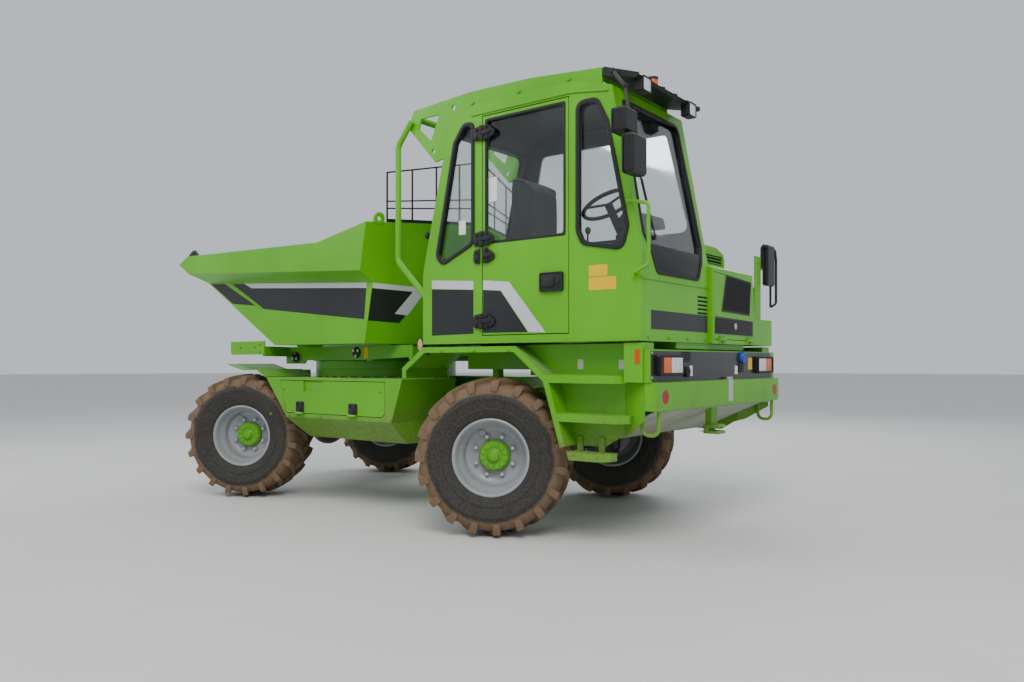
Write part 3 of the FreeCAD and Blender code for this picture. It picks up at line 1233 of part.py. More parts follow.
def rear_fenders():
    """Arches and rear walls on both sides; the steps and their hangers are on the cab side only."""
    arch, wall = rear_arch(), step_wall()
    face, (top, middle, low) = WALL_Y + FENDER_T + SEAT_GAP, steps()
    hangers = [block(x, x + 40, face, face + 10, STEPS[2][2] - 5, 700) for x in (-1900, -2060)]
    return Part.makeCompound([arch, wall, top, middle, fuse([low] + hangers), mirrored(arch), mirrored(wall)])


def main():
    os.makedirs("parts", exist_ok=True)
    nodes = {}
    wheel_pieces = {"tyre_": tyre(), "rim_": rim(), "hub_": hub()}
    for axle_name, axle_x, arm_way in (("front", AXLE_FRONT_X, -1), ("rear", AXLE_REAR_X, 1)):
        nodes["axle_" + axle_name] = axle(axle_x, arm_way)
        nodes["steer_rod_" + axle_name] = steer_rod(axle_x, arm_way)
        for side_name, side in (("near", 1), ("far", -1)):
            tail = axle_name + "_" + side_name
            for name, shape in wheel_pieces.items():
                nodes[name + tail] = placed_wheel(shape, axle_x, side)
            nodes["knuckle_" + tail] = placed_wheel(knuckle(arm_way * side), axle_x, side)
    nodes["chassis_frame"] = chassis_frame()
    nodes["tow_hitch"] = tow_hitch()
    nodes["ring_base"] = ring_base()
    nodes["cab_carrier"] = cab_carrier()
    nodes["turntable"] = turntable()
    nodes["skip"] = skip()
    nodes["skip_guard"] = skip_guard()
    nodes["tip_cylinder_barrel"] = tip_cylinder_barrel()
    nodes["tip_cylinder_rod"] = tip_cylinder_rod()
    nodes["cab_shell"] = cab_shell()
    nodes["cab_roof"] = cab_roof()
    nodes["cab_glass"] = cab_glass()
    nodes["cab_floor"] = cab_floor()
    nodes["cab_door"] = cab_door()
    nodes["door_glass"] = door_glass()
    nodes["seat_base"] = seat_base()
    nodes["seat_cushion"] = seat_cushion()
    nodes["seat_back"] = seat_back()
    nodes["steering_console"] = steering_console()
    nodes["rops_frame"] = rops_frame()
    nodes["light_bar"] = light_bar()
    nodes["handrails"] = handrails()
    nodes["mirrors"] = mirrors()
    nodes["hood"] = hood()
    nodes["hood_door"] = hood_door()
    nodes["engine_block"] = engine_block()
    nodes["rear_bumper"] = rear_bumper()
    nodes["lamp_panel"] = lamp_panel()
    nodes["belly_plate"] = belly_plate()
    nodes["side_boxes"] = side_boxes()
    nodes["hatch_near"] = hatch()
    nodes["hatch_far"] = mirrored(hatch())
    fender = front_fender()
    nodes["front_fenders"] = Part.makeCompound([fender, mirrored(fender)])
    nodes["rear_fenders"] = rear_fenders()
    for name, shape in nodes.items():
        shape.exportStep("parts/" + name + ".step")
        box = shape.BoundBox
        ends = [round(v) for v in (box.XMin, box.XMax, box.YMin, box.YMax, box.ZMin, box.ZMax)]
        print(name, "solids", len(shape.Solids), "valid", shape.isValid(), round(shape.Volume / 1e6, 2), ends)


main()
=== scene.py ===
import math
import random

import bmesh
import bpy
from bpy.props import FloatProperty, FloatVectorProperty, IntProperty, PointerProperty
from mathutils import Matrix, Vector


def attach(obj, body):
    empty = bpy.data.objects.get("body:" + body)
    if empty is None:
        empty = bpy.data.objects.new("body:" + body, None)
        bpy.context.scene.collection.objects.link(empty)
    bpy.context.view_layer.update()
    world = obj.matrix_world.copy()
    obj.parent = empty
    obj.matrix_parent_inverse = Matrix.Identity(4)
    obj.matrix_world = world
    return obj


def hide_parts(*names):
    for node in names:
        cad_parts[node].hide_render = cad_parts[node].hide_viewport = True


bl_info = {
    "name": "Site Dumper Dressing",
    "version": (1, 0, 0),
    "blender": (4, 5, 0),
    "location": "3D View > Sidebar > Dumper",
    "description": "Builds the visible pieces of a site dumper around its packed frame",
    "category": "Object",
}

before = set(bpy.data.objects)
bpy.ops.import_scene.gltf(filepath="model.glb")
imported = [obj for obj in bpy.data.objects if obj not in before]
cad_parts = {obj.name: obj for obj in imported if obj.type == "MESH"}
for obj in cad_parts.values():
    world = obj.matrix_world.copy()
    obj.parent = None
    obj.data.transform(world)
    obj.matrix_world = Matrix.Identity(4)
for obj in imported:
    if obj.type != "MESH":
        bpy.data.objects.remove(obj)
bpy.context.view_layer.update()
ENDS = (("front", 1.655), ("rear", -1.12))
SIDES = (("near", 1), ("far", -1))
AXLE_Z = 0.535
KINGPIN_Y = 0.777
HUB_OFFSET = 0.200
STEER_REST = math.radians(28)


# Sizes and colours a user would change

class DumperColours(bpy.types.PropertyGroup):
    lime: FloatVectorProperty(name="Lime", description="Body paint", subtype="COLOR", size=3,
                              min=0, max=1, default=(0.098, 0.385, 0.003))
    charcoal: FloatVectorProperty(name="Charcoal", description="Dark side bands", subtype="COLOR", size=3,
                                  min=0, max=1, default=(0.017, 0.018, 0.020))
    stripe: FloatVectorProperty(name="Stripe", description="Light grey stripes", subtype="COLOR", size=3,
                                min=0, max=1, default=(0.52, 0.53, 0.56))
    silver: FloatVectorProperty(name="Rim silver", description="Wheel rims", subtype="COLOR", size=3,
                                min=0, max=1, default=(0.31, 0.32, 0.34))
    mud: FloatVectorProperty(name="Mud", description="Dried mud on treads and low panels", subtype="COLOR", size=3,
                             min=0, max=1, default=(0.150, 0.095, 0.052))
    dust: FloatVectorProperty(name="Dust", description="Pale film on flat tops and sidewalls", subtype="COLOR",
                              size=3, min=0, max=1, default=(0.30, 0.26, 0.20))
    rubber: FloatVectorProperty(name="Rubber", description="Tyres and seals", subtype="COLOR", size=3,
                                min=0, max=1, default=(0.009, 0.009, 0.009))


class DumperTyres(bpy.types.PropertyGroup):
    lugs: IntProperty(name="Lugs per side", description="Tread bars on each half of a tyre", min=8, max=30, default=19)
    lug_width: FloatProperty(name="Lug width", description="Width of a tread bar at the crown", subtype="DISTANCE",
                             min=0.01, max=0.08, default=0.040)
    tread_drop: FloatProperty(name="Tread depth", description="Height of the bars over the carcass",
                              subtype="DISTANCE", min=0.005, max=0.05, default=0.034)


class DumperFasteners(bpy.types.PropertyGroup):
    nut_radius: FloatProperty(name="Nut radius", description="Wheel nut, centre to corner", subtype="DISTANCE",
                              min=0.005, max=0.03, default=0.0165)
    bolt_radius: FloatProperty(name="Bolt radius", description="Small bolt head, centre to corner",
                               subtype="DISTANCE", min=0.002, max=0.02, default=0.008)


def colours():
    return bpy.context.scene.dumper_colours


def grey(value):
    return (value, value, value, 1.0)


def rgba(colour):
    return (colour[0], colour[1], colour[2], 1.0)


# Shader parts

def add_node(tree, kind, inputs=None, **settings):
    """A node with its settings and input values; an input given as a socket is linked."""
    node = tree.nodes.new(kind)
    for key, value in settings.items():
        setattr(node, key, value)
    for key, value in (inputs or {}).items():
        if isinstance(value, bpy.types.NodeSocket):
            tree.links.new(value, node.inputs[key])
        else:
            node.inputs[key].default_value = value
    return node


def group_tree(name, inputs, outputs):
    tree = bpy.data.node_groups.new(name, "ShaderNodeTree")
    for label, kind, value in inputs:
        socket = tree.interface.new_socket(label, in_out="INPUT", socket_type=kind)
        if value is not None:
            socket.default_value = value
    for label, kind in outputs:
        tree.interface.new_socket(label, in_out="OUTPUT", socket_type=kind)
    return tree, tree.nodes.new("NodeGroupInput"), tree.nodes.new("NodeGroupOutput")


def site_dirt():
    """Mud that fades out with height, dust on flat tops, and the bump of both."""
    found = bpy.data.node_groups.get("Site dirt")
    if found:
        return found
    tree, start, end = group_tree("Site dirt", [
        ("Colour", "NodeSocketColor", grey(0.5)), ("Mud", "NodeSocketColor", grey(0.2)),
        ("Dust colour", "NodeSocketColor", grey(0.4)), ("Mud height", "NodeSocketFloat", 0.8),
        ("Mud amount", "NodeSocketFloat", 0.5), ("Dust amount", "NodeSocketFloat", 0.3),
    ], [("Colour", "NodeSocketColor"), ("Mask", "NodeSocketFloat"), ("Height", "NodeSocketFloat")])
    place = add_node(tree, "ShaderNodeTexCoord").outputs["Object"]
    parts = add_node(tree, "ShaderNodeSeparateXYZ", {0: place})
    broad = add_node(tree, "ShaderNodeTexNoise", {"Vector": place, "Scale": 3.2, "Detail": 6.0, "Roughness": 0.62})
    fine = add_node(tree, "ShaderNodeTexNoise", {"Vector": place, "Scale": 42.0, "Detail": 5.0, "Roughness": 0.7})
    lifted = add_node(tree, "ShaderNodeMath", {0: broad.outputs["Fac"], 1: -0.5}, operation="ADD")
    sway = add_node(tree, "ShaderNodeMath", {0: lifted.outputs[0], 1: 0.9}, operation="MULTIPLY")
    level = add_node(tree, "ShaderNodeMath", {0: parts.outputs["Z"], 1: sway.outputs[0]}, operation="SUBTRACT")
    over = add_node(tree, "ShaderNodeMath", {0: start.outputs["Mud height"], 1: level.outputs[0]}, operation="SUBTRACT")
    low = add_node(tree, "ShaderNodeMapRange", {"Value": over.outputs[0], "From Min": -0.15, "From Max": 0.45},
                   interpolation_type="SMOOTHSTEP")
    speckle = add_node(tree, "ShaderNodeMapRange", {"Value": fine.outputs["Fac"], "From Min": 0.36, "From Max": 0.62,
                                                    "To Min": 0.35, "To Max": 1.0})
    mud = add_node(tree, "ShaderNodeMath", {0: low.outputs[0], 1: speckle.outputs[0]}, operation="MULTIPLY")
    mud = add_node(tree, "ShaderNodeMath", {0: mud.outputs[0], 1: start.outputs["Mud amount"]}, operation="MULTIPLY")
    facing = add_node(tree, "ShaderNodeSeparateXYZ", {0: add_node(tree, "ShaderNodeNewGeometry").outputs["Normal"]})
    top = add_node(tree, "ShaderNodeMapRange", {"Value": facing.outputs["Z"], "From Min": 0.35, "From Max": 0.95})
    patch = add_node(tree, "ShaderNodeMapRange", {"Value": broad.outputs["Fac"], "From Min": 0.38, "From Max": 0.62,
                                                  "To Min": 0.25, "To Max": 1.0})
    dust = add_node(tree, "ShaderNodeMath", {0: top.outputs[0], 1: patch.outputs[0]}, operation="MULTIPLY")
    dust = add_node(tree, "ShaderNodeMath", {0: dust.outputs[0], 1: start.outputs["Dust amount"]}, operation="MULTIPLY")
    dusty = add_node(tree, "ShaderNodeMix", {0: dust.outputs[0], 6: start.outputs["Colour"], 7: start.outputs["Dust colour"]},
                     data_type="RGBA")
    muddy = add_node(tree, "ShaderNodeMix", {0: mud.outputs[0], 6: dusty.outputs[2], 7: start.outputs["Mud"]},
                     data_type="RGBA")
    mask = add_node(tree, "ShaderNodeMath", {0: mud.outputs[0], 1: dust.outputs[0]}, operation="MAXIMUM")
    height = add_node(tree, "ShaderNodeMath", {0: mask.outputs[0], 1: fine.outputs["Fac"]}, operation="MULTIPLY")
    tree.links.new(muddy.outputs[2], end.inputs["Colour"])
    tree.links.new(mask.outputs[0], end.inputs["Mask"])
    tree.links.new(height.outputs[0], end.inputs["Height"])
    return tree


def grain():
    """Fine mottle for moulded plastic, vinyl and rubber."""
    found = bpy.data.node_groups.get("Moulded grain")
    if found:
        return found
    tree, start, end = group_tree("Moulded grain", [
        ("Colour", "NodeSocketColor", grey(0.05)), ("Scale", "NodeSocketFloat", 300.0),
        ("Variation", "NodeSocketFloat", 0.2),
    ], [("Colour", "NodeSocketColor"), ("Height", "NodeSocketFloat"), ("Roughness", "NodeSocketFloat")])
    place = add_node(tree, "ShaderNodeTexCoord").outputs["Object"]
    pits = add_node(tree, "ShaderNodeTexVoronoi", {"Vector": place, "Scale": start.outputs["Scale"]})
    cloud = add_node(tree, "ShaderNodeTexNoise", {"Vector": place, "Scale": 9.0, "Detail": 4.0})
    shade = add_node(tree, "ShaderNodeMapRange", {"Value": cloud.outputs["Fac"], "From Min": 0.3, "From Max": 0.7,
                                                  "To Min": 0.75, "To Max": 1.3})
    dimmed = add_node(tree, "ShaderNodeMix", {0: start.outputs["Variation"], 6: start.outputs["Colour"], 7: grey(0.05)},
                      data_type="RGBA")
    varied = add_node(tree, "ShaderNodeMix", {0: shade.outputs[0], 6: start.outputs["Colour"], 7: dimmed.outputs[2]},
                      data_type="RGBA", clamp_factor=True)
    rough = add_node(tree, "ShaderNodeMapRange", {"Value": cloud.outputs["Fac"], "To Min": 0.42, "To Max": 0.72})
    tree.links.new(varied.outputs[2], end.inputs["Colour"])
    tree.links.new(pits.outputs["Distance"], end.inputs["Height"])
    tree.links.new(rough.outputs[0], end.inputs["Roughness"])
    return tree


def blank_material(name):
    material = bpy.data.materials.new(name)
    material.use_nodes = True
    tree = material.node_tree
    tree.nodes.clear()
    bsdf = add_node(tree, "ShaderNodeBsdfPrincipled")
    out = add_node(tree, "ShaderNodeOutputMaterial")
    tree.links.new(bsdf.outputs[0], out.inputs[0])
    return material, tree, bsdf


def paint(name, colour, rough=0.34, coat=0.10, mud_height=0.55, mud=0.55, dust=0.35, soft_edge=0.004):
    """Sprayed metal with mud low down, dust on top, a faint orange peel, and soft edges on the CAD shells."""
    found = bpy.data.materials.get(name)
    if found:
        return found
    c = colours()
    material, tree, bsdf = blank_material(name)
    place = add_node(tree, "ShaderNodeTexCoord").outputs["Object"]
    tone = add_node(tree, "ShaderNodeTexNoise", {"Vector": place, "Scale": 1.7, "Detail": 3.0})
    shade = add_node(tree, "ShaderNodeMapRange", {"Value": tone.outputs["Fac"], "From Min": 0.3, "From Max": 0.7})
    paler = tuple(min(1.0, v * 1.10 + 0.004) for v in colour)
    deeper = tuple(v * 0.90 for v in colour)
    base = add_node(tree, "ShaderNodeMix", {0: shade.outputs[0], 6: rgba(deeper), 7: rgba(paler)}, data_type="RGBA")
    dirt = add_node(tree, "ShaderNodeGroup", node_tree=site_dirt())
    tree.links.new(base.outputs[2], dirt.inputs["Colour"])
    dirt.inputs["Mud"].default_value = rgba(c.mud)
    dirt.inputs["Dust colour"].default_value = rgba(c.dust)
    dirt.inputs["Mud height"].default_value = mud_height
    dirt.inputs["Mud amount"].default_value = mud
    dirt.inputs["Dust amount"].default_value = dust
    tree.links.new(dirt.outputs["Colour"], bsdf.inputs["Base Color"])
    gloss = add_node(tree, "ShaderNodeMapRange", {"Value": dirt.outputs["Mask"], "To Min": rough, "To Max": 0.85})
    tree.links.new(gloss.outputs[0], bsdf.inputs["Roughness"])
    bsdf.inputs["Coat Weight"].default_value = coat
    bsdf.inputs["Coat Roughness"].default_value = 0.12
    bsdf.inputs["Specular IOR Level"].default_value = 0.32
    peel = add_node(tree, "ShaderNodeTexNoise", {"Vector": place, "Scale": 160.0, "Detail": 2.0})
    relief = add_node(tree, "ShaderNodeMath", {0: dirt.outputs["Height"], 1: 3.0}, operation="MULTIPLY")
    relief = add_node(tree, "ShaderNodeMath", {0: relief.outputs[0], 1: peel.outputs["Fac"]}, operation="ADD")
    bump = add_node(tree, "ShaderNodeBump", {"Height": relief.outputs[0], "Strength": 0.10, "Distance": 0.002})
    if soft_edge:
        rounded = add_node(tree, "ShaderNodeBevel", {"Radius": soft_edge}, samples=4)
        tree.links.new(rounded.outputs[0], bump.inputs["Normal"])
    tree.links.new(bump.outputs[0], bsdf.inputs["Normal"])
    return material


def moulded(name, colour, rough=0.55, scale=300.0, bump_strength=0.15, sheen=0.0):
    """Black plastic, vinyl or rubber with a moulded grain."""
    found = bpy.data.materials.get(name)
    if found:
        return found
    material, tree, bsdf = blank_material(name)
    skin = add_node(tree, "ShaderNodeGroup", node_tree=grain())
    skin.inputs["Colour"].default_value = rgba(colour)
    skin.inputs["Scale"].default_value = scale
    tree.links.new(skin.outputs["Colour"], bsdf.inputs["Base Color"])
    spread = add_node(tree, "ShaderNodeMapRange", {"Value": skin.outputs["Roughness"], "From Min": 0.42, "From Max": 0.72,
                                                   "To Min": rough - 0.08, "To Max": rough + 0.12})
    tree.links.new(spread.outputs[0], bsdf.inputs["Roughness"])
    bump = add_node(tree, "ShaderNodeBump", {"Height": skin.outputs["Height"], "Strength": bump_strength,
                                             "Distance": 0.001})
    tree.links.new(bump.outputs[0], bsdf.inputs["Normal"])
    bsdf.inputs["Sheen Weight"].default_value = sheen
    bsdf.inputs["Specular IOR Level"].default_value = 0.3
    return material


def metal(name, colour, rough=0.3, scratch=0.15):
    """Bare or plated metal with fine scratches in its gloss."""
    found = bpy.data.materials.get(name)
    if found:
        return found
    material, tree, bsdf = blank_material(name)
    bsdf.inputs["Base Color"].default_value = rgba(colour)
    bsdf.inputs["Metallic"].default_value = 1.0
    place = add_node(tree, "ShaderNodeTexCoord").outputs["Object"]
    noise = add_node(tree, "ShaderNodeTexNoise", {"Vector": place, "Scale": 90.0, "Detail": 6.0, "Roughness": 0.7})
    gloss = add_node(tree, "ShaderNodeMapRange", {"Value": noise.outputs["Fac"], "To Min": rough - scratch / 2,
                                                  "To Max": rough + scratch})
    tree.links.new(gloss.outputs[0], bsdf.inputs["Roughness"])
    bump = add_node(tree, "ShaderNodeBump", {"Height": noise.outputs["Fac"], "Strength": 0.05, "Distance": 0.001})
    tree.links.new(bump.outputs[0], bsdf.inputs["Normal"])
    return material


def clear(name, colour, rough=0.02, ior=1.45):
    """Window glass or a lamp lens."""
    found = bpy.data.materials.get(name)
    if found:
        return found
    material, tree, bsdf = blank_material(name)
    place = add_node(tree, "ShaderNodeTexCoord").outputs["Object"]
    film = add_node(tree, "ShaderNodeTexNoise", {"Vector": place, "Scale": 5.0, "Detail": 5.0})
    gloss = add_node(tree, "ShaderNodeMapRange", {"Value": film.outputs["Fac"], "From Min": 0.4, "From Max": 0.8,
                                                  "To Min": rough, "To Max": rough + 0.06})
    tree.links.new(gloss.outputs[0], bsdf.inputs["Roughness"])
    bsdf.inputs["Base Color"].default_value = rgba(colour)
    bsdf.inputs["Transmission Weight"].default_value = 1.0
    bsdf.inputs["IOR"].default_value = ior
    return material


def tyre_rubber():
    """Black sidewall under pale dust, and a tread caked in dried mud, told apart by the mesh's tread attribute."""
    found = bpy.data.materials.get("Tyre rubber")
    if found:
        return found
    c = colours()
    material, tree, bsdf = blank_material("Tyre rubber")
    place = add_node(tree, "ShaderNodeTexCoord").outputs["Object"]
    tread = add_node(tree, "ShaderNodeAttribute", attribute_name="tread").outputs["Fac"]
    broad = add_node(tree, "ShaderNodeTexNoise", {"Vector": place, "Scale": 7.0, "Detail": 8.0, "Roughness": 0.68})
    fine = add_node(tree, "ShaderNodeTexNoise", {"Vector": place, "Scale": 70.0, "Detail": 6.0, "Roughness": 0.75})
    scuff = add_node(tree, "ShaderNodeMapRange", {"Value": fine.outputs["Fac"], "From Min": 0.40, "From Max": 0.64,
                                                  "To Min": 0.10, "To Max": 0.62})
    side = add_node(tree, "ShaderNodeMix", {0: scuff.outputs[0], 6: rgba(c.rubber), 7: rgba([v * 0.24 for v in c.dust])},
                    data_type="RGBA")
    wet = add_node(tree, "ShaderNodeMix", {0: fine.outputs["Fac"], 6: rgba([v * 0.45 for v in c.mud]),
                                           7: rgba([v * 1.55 for v in c.mud])}, data_type="RGBA")
    sum_up = add_node(tree, "ShaderNodeMath", {0: broad.outputs["Fac"], 1: tread}, operation="ADD")
    cake = add_node(tree, "ShaderNodeMapRange", {"Value": sum_up.outputs[0], "From Min": 0.80, "From Max": 1.22},
                    interpolation_type="SMOOTHSTEP")
    mixed = add_node(tree, "ShaderNodeMix", {0: cake.outputs[0], 6: side.outputs[2], 7: wet.outputs[2]}, data_type="RGBA")
    tree.links.new(mixed.outputs[2], bsdf.inputs["Base Color"])
    gloss = add_node(tree, "ShaderNodeMapRange", {"Value": broad.outputs["Fac"], "To Min": 0.62, "To Max": 0.92})
    tree.links.new(gloss.outputs[0], bsdf.inputs["Roughness"])
    bump = add_node(tree, "ShaderNodeBump", {"Height": fine.outputs["Fac"], "Strength": 0.55, "Distance": 0.004})
    tree.links.new(bump.outputs[0], bsdf.inputs["Normal"])
    return material


def lime():
    return paint("Lime paint", colours().lime)


def lime_low():
    return paint("Lime paint muddy", colours().lime, mud_height=0.95, mud=0.75, dust=0.55)


def black_paint():
    return paint("Black paint", (0.007, 0.007, 0.008), rough=0.38, coat=0.1, mud=0.4, dust=0.3)


def charcoal():
    return paint("Charcoal film", colours().charcoal, rough=0.34, coat=0.0, mud=0.3, dust=0.2, soft_edge=0.0)


def stripe():
    return paint("Grey film", colours().stripe, rough=0.36, coat=0.0, mud=0.3, dust=0.1, soft_edge=0.0)


def silver():
    return paint("Rim silver", colours().silver, rough=0.34, coat=0.15, mud_height=0.2, mud=0.35, dust=0.25, soft_edge=0.0)


def black_plastic():
    return moulded("Black plastic", (0.008, 0.008, 0.009))


def seal_rubber():
    return moulded("Seal rubber", (0.006, 0.006, 0.006), rough=0.48, scale=500.0, bump_strength=0.05)


# Dark moulded lining of the dash and console; the same colour serves as painted shade on plates in recesses and
# openings.
def dark_lining_and_shade():
    return moulded("Dark lining and shade", (0.035, 0.036, 0.040), rough=0.8, scale=220.0, bump_strength=0.3)


def zinc():
    return metal("Zinc plate", (0.62, 0.62, 0.60), rough=0.34)


def yellow_label():
    return paint("Yellow plate", (0.72, 0.43, 0.004), rough=0.4, coat=0.0, mud=0.2, dust=0.1, soft_edge=0.0)


# Mesh parts

def grow(points, step):
    """Closed outline moved outwards by a step; inwards where it is negative."""
    count = len(points)
    area = sum(points[i][0] * points[(i + 1) % count][1] - points[(i + 1) % count][0] * points[i][1]
               for i in range(count))
    sense = -1 if area > 0 else 1
    lines = []
    for i in range(count):
        (x0, z0), (x1, z1) = points[i], points[(i + 1) % count]
        span = math.hypot(x1 - x0, z1 - z0)
        nx, nz = -(z1 - z0) / span * sense, (x1 - x0) / span * sense
        lines.append((x0 + nx * step, z0 + nz * step, x1 - x0, z1 - z0))
    moved = []
    for i in range(count):
        ax, az, adx, adz = lines[i - 1]
        bx, bz, bdx, bdz = lines[i]
        t = ((bx - ax) * bdz - (bz - az) * bdx) / (adx * bdz - adz * bdx)
        moved.append((ax + adx * t, az + adz * t))
    return moved


def fillet(points, radius, steps=6):
    """Closed outline with each corner turned into an arc, as large as its sides allow."""
    rounded = []
    count = len(points)
    for i in range(count):
        before, corner, after = (Vector(points[i - 1]), Vector(points[i]), Vector(points[(i + 1) % count]))
        into, out = (corner - before), (after - corner)
        turn = into.angle(out)
        reach = min(radius * math.tan(turn / 2), into.length * 0.48, out.length * 0.48)
        first, last = corner - into.normalized() * reach, corner + out.normalized() * reach
        for k in range(steps + 1):
            t = k / steps
            rounded.append(tuple(first * (1 - t) ** 2 + corner * (2 * t * (1 - t)) + last * t * t))
    return rounded


def arc_path(points, bend, steps=6):
    """Open path in space with its inner corners turned into arcs."""
    pts = [Vector(p) for p in points]
    path = [pts[0]]
    for before, corner, after in zip(pts, pts[1:], pts[2:]):
        into, out = corner - before, after - corner
        reach = min(bend * math.tan(into.angle(out) / 2), into.length * 0.49, out.length * 0.49)
        first, last = corner - into.normalized() * reach, corner + out.normalized() * reach
        for k in range(steps + 1):
            t = k / steps
            path.append(first * (1 - t) ** 2 + corner * (2 * t * (1 - t)) + last * t * t)
    path.append(pts[-1])
    return path


class Shape:
    """Collects closed solids into one mesh; mark is the number of the material of each."""

    def __init__(self):
        self.verts, self.faces, self.marks = [], [], []

    def solid(self, verts, faces, mark=0):
        base = len(self.verts)
        self.verts += [tuple(v) for v in verts]
        self.faces += [[base + i for i in face] for face in faces]
        self.marks += [mark] * len(faces)

    def prism(self, outline, low, high, axis="Y", mark=0):
        """Outline pushed from low to high: (y, z) along X, (x, z) along Y, (x, y) along Z."""
        order = {"X": (2, 0, 1), "Y": (0, 2, 1), "Z": (0, 1, 2)}[axis]
        count = len(outline)
        verts = []
        for level in (low, high):
            for a, b in outline:
                trio = (a, b, level)
                verts.append(tuple(trio[k] for k in order))
        faces = [list(range(count)), list(range(count, 2 * count))]
        faces += [[i, (i + 1) % count, count + (i + 1) % count, count + i] for i in range(count)]
        self.solid(verts, faces, mark)

    def box(self, low, high, mark=0):
        x0, y0, z0 = low
        x1, y1, z1 = high
        self.prism([(x0, y0), (x1, y0), (x1, y1), (x0, y1)], z0, z1, "Z", mark)

    def plate(self, corners, push, mark=0):
        """Flat polygon of points in space, thickened by a vector."""
        push = Vector(push)
        count = len(corners)
        verts = [Vector(c) for c in corners] + [Vector(c) + push for c in corners]
        faces = [list(range(count)), list(range(count, 2 * count))]
        faces += [[i, (i + 1) % count, count + (i + 1) % count, count + i] for i in range(count)]
        self.solid(verts, faces, mark)

    def band(self, outer, inner, low, high, axis="Y", mark=0):
        """Closed frame between two outlines with as many points."""
        order = {"X": (2, 0, 1), "Y": (0, 2, 1), "Z": (0, 1, 2)}[axis]
        count = len(outer)
        verts = []
        for outline, level in ((outer, low), (outer, high), (inner, high), (inner, low)):
            for a, b in outline:
                trio = (a, b, level)
                verts.append(tuple(trio[k] for k in order))
        faces = []
        for ring in range(4):
            after = (ring + 1) % 4
            for i in range(count):
                j = (i + 1) % count
                faces.append([ring * count + i, ring * count + j, after * count + j, after * count + i])
        self.solid(verts, faces, mark)

    def lathe(self, profile, centre, way, steps=48, mark=0, closed=False):
        """Profile of (radius, along) turned about a way through the centre; ends on the axis close by themselves."""
        way = Vector(way).normalized()
        side = way.orthogonal().normalized()
        other = way.cross(side)
        centre = Vector(centre)
        verts, rings = [], []
        for radius, along in profile:
            if radius < 1e-6:
                rings.append([len(verts)] * steps)
                verts.append(centre + way * along)
                continue
            rings.append(list(range(len(verts), len(verts) + steps)))
            for k in range(steps):
                turn = 2 * math.pi * k / steps
                verts.append(centre + way * along + (side * math.cos(turn) + other * math.sin(turn)) * radius)
        faces = []
        pairs = list(zip(rings, rings[1:]))
        if closed:
            pairs.append((rings[-1], rings[0]))
        for a, b in pairs:
            for k in range(steps):
                m = (k + 1) % steps
                face = [a[k], a[m], b[m], b[k]]
                face = [v for i, v in enumerate(face) if v != face[i - 1]]
                if len(set(face)) > 2:
                    faces.append(face)
        self.solid(verts, faces, mark)

    def rod(self, start, end, radius, steps=24, mark=0):
        start, end = Vector(start), Vector(end)
        length = (end - start).length
        self.lathe([(0, 0), (radius, 0), (radius, length), (0, length)], start, end - start, steps, mark)

    def tube(self, points, radius, bend=0.03, steps=12, mark=0, arcs=6):
        """Round bar along a path whose corners are arcs, closed at both ends."""
        path = arc_path(points, bend, arcs) if len(points) > 2 else [Vector(p) for p in points]
        ways = []
        for i in range(len(path)):
            ahead = path[min(i + 1, len(path) - 1)] - path[max(i - 1, 0)]
            ways.append(ahead.normalized())
        side = ways[0].orthogonal().normalized()
        verts, faces = [], []
        for point, way in zip(path, ways):
            side = (side - way * side.dot(way)).normalized()
            other = way.cross(side)
            for k in range(steps):
                turn = 2 * math.pi * k / steps
                verts.append(point + (side * math.cos(turn) + other * math.sin(turn)) * radius)
        for i in range(len(path) - 1):
            for k in range(steps):
                m = (k + 1) % steps
                faces.append([i * steps + k, i * steps + m, (i + 1) * steps + m, (i + 1) * steps + k])
        faces.append(list(range(steps)))
        faces.append([(len(path) - 1) * steps + k for k in range(steps)])
        self.solid(verts, faces, mark)

    def moved(self, matrix):
        self.verts = [tuple(matrix @ Vector(v)) for v in self.verts]
        return self

    def piece(self, name, body, slot, materials, bevel=0.0, segments=2, replaces=()):
        mesh = bpy.data.meshes.new(name)
        mesh.from_pydata(self.verts, [], self.faces)
        for number, mark in enumerate(self.marks):
            mesh.polygons[number].material_index = mark
        work = bmesh.new()
        work.from_mesh(mesh)
        bmesh.ops.recalc_face_normals(work, faces=work.faces)
        work.to_mesh(mesh)
        work.free()
        return dress(name, mesh, body, materials, bevel, segments, replaces)


def dress(name, mesh, body, materials, bevel=0.0, segments=2, replaces=()):
    """Puts a finished mesh in the scene: materials, worn edges, smooth faces, and the body it moves with."""
    for material in materials:
        mesh.materials.append(material)
    item = bpy.data.objects.new(name, mesh)
    bpy.context.scene.collection.objects.link(item)
    if bevel:
        edge = item.modifiers.new("Edges", "BEVEL")
        edge.width = bevel
        edge.segments = segments
        edge.limit_method = "ANGLE"
        edge.angle_limit = math.radians(32)
        edge.use_clamp_overlap = True
        bake_down(item)
    item.data.shade_smooth()
    item.data.set_sharp_from_angle(angle=math.radians(38))
    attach(item, body)
    if replaces:
        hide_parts(*replaces)
    return item


def bake_down(item):
    """The object's modifiers turned into its plain mesh."""
    bpy.context.view_layer.update()
    seen = item.evaluated_get(bpy.context.evaluated_depsgraph_get())
    mesh = bpy.data.meshes.new_from_object(seen)
    item.modifiers.clear()
    old = item.data
    item.data = mesh
    bpy.data.meshes.remove(old)


# Geometry node trees

def geometry_tree(name, inputs):
    tree = bpy.data.node_groups.new(name, "GeometryNodeTree")
    tree.interface.new_socket("Geometry", in_out="INPUT", socket_type="NodeSocketGeometry")
    tree.interface.new_socket("Geometry", in_out="OUTPUT", socket_type="NodeSocketGeometry")
    for label, kind, value in inputs:
        socket = tree.interface.new_socket(label, in_out="INPUT", socket_type=kind)
        if value is not None:
            socket.default_value = value
    return tree, tree.nodes.new("NodeGroupInput"), tree.nodes.new("NodeGroupOutput")


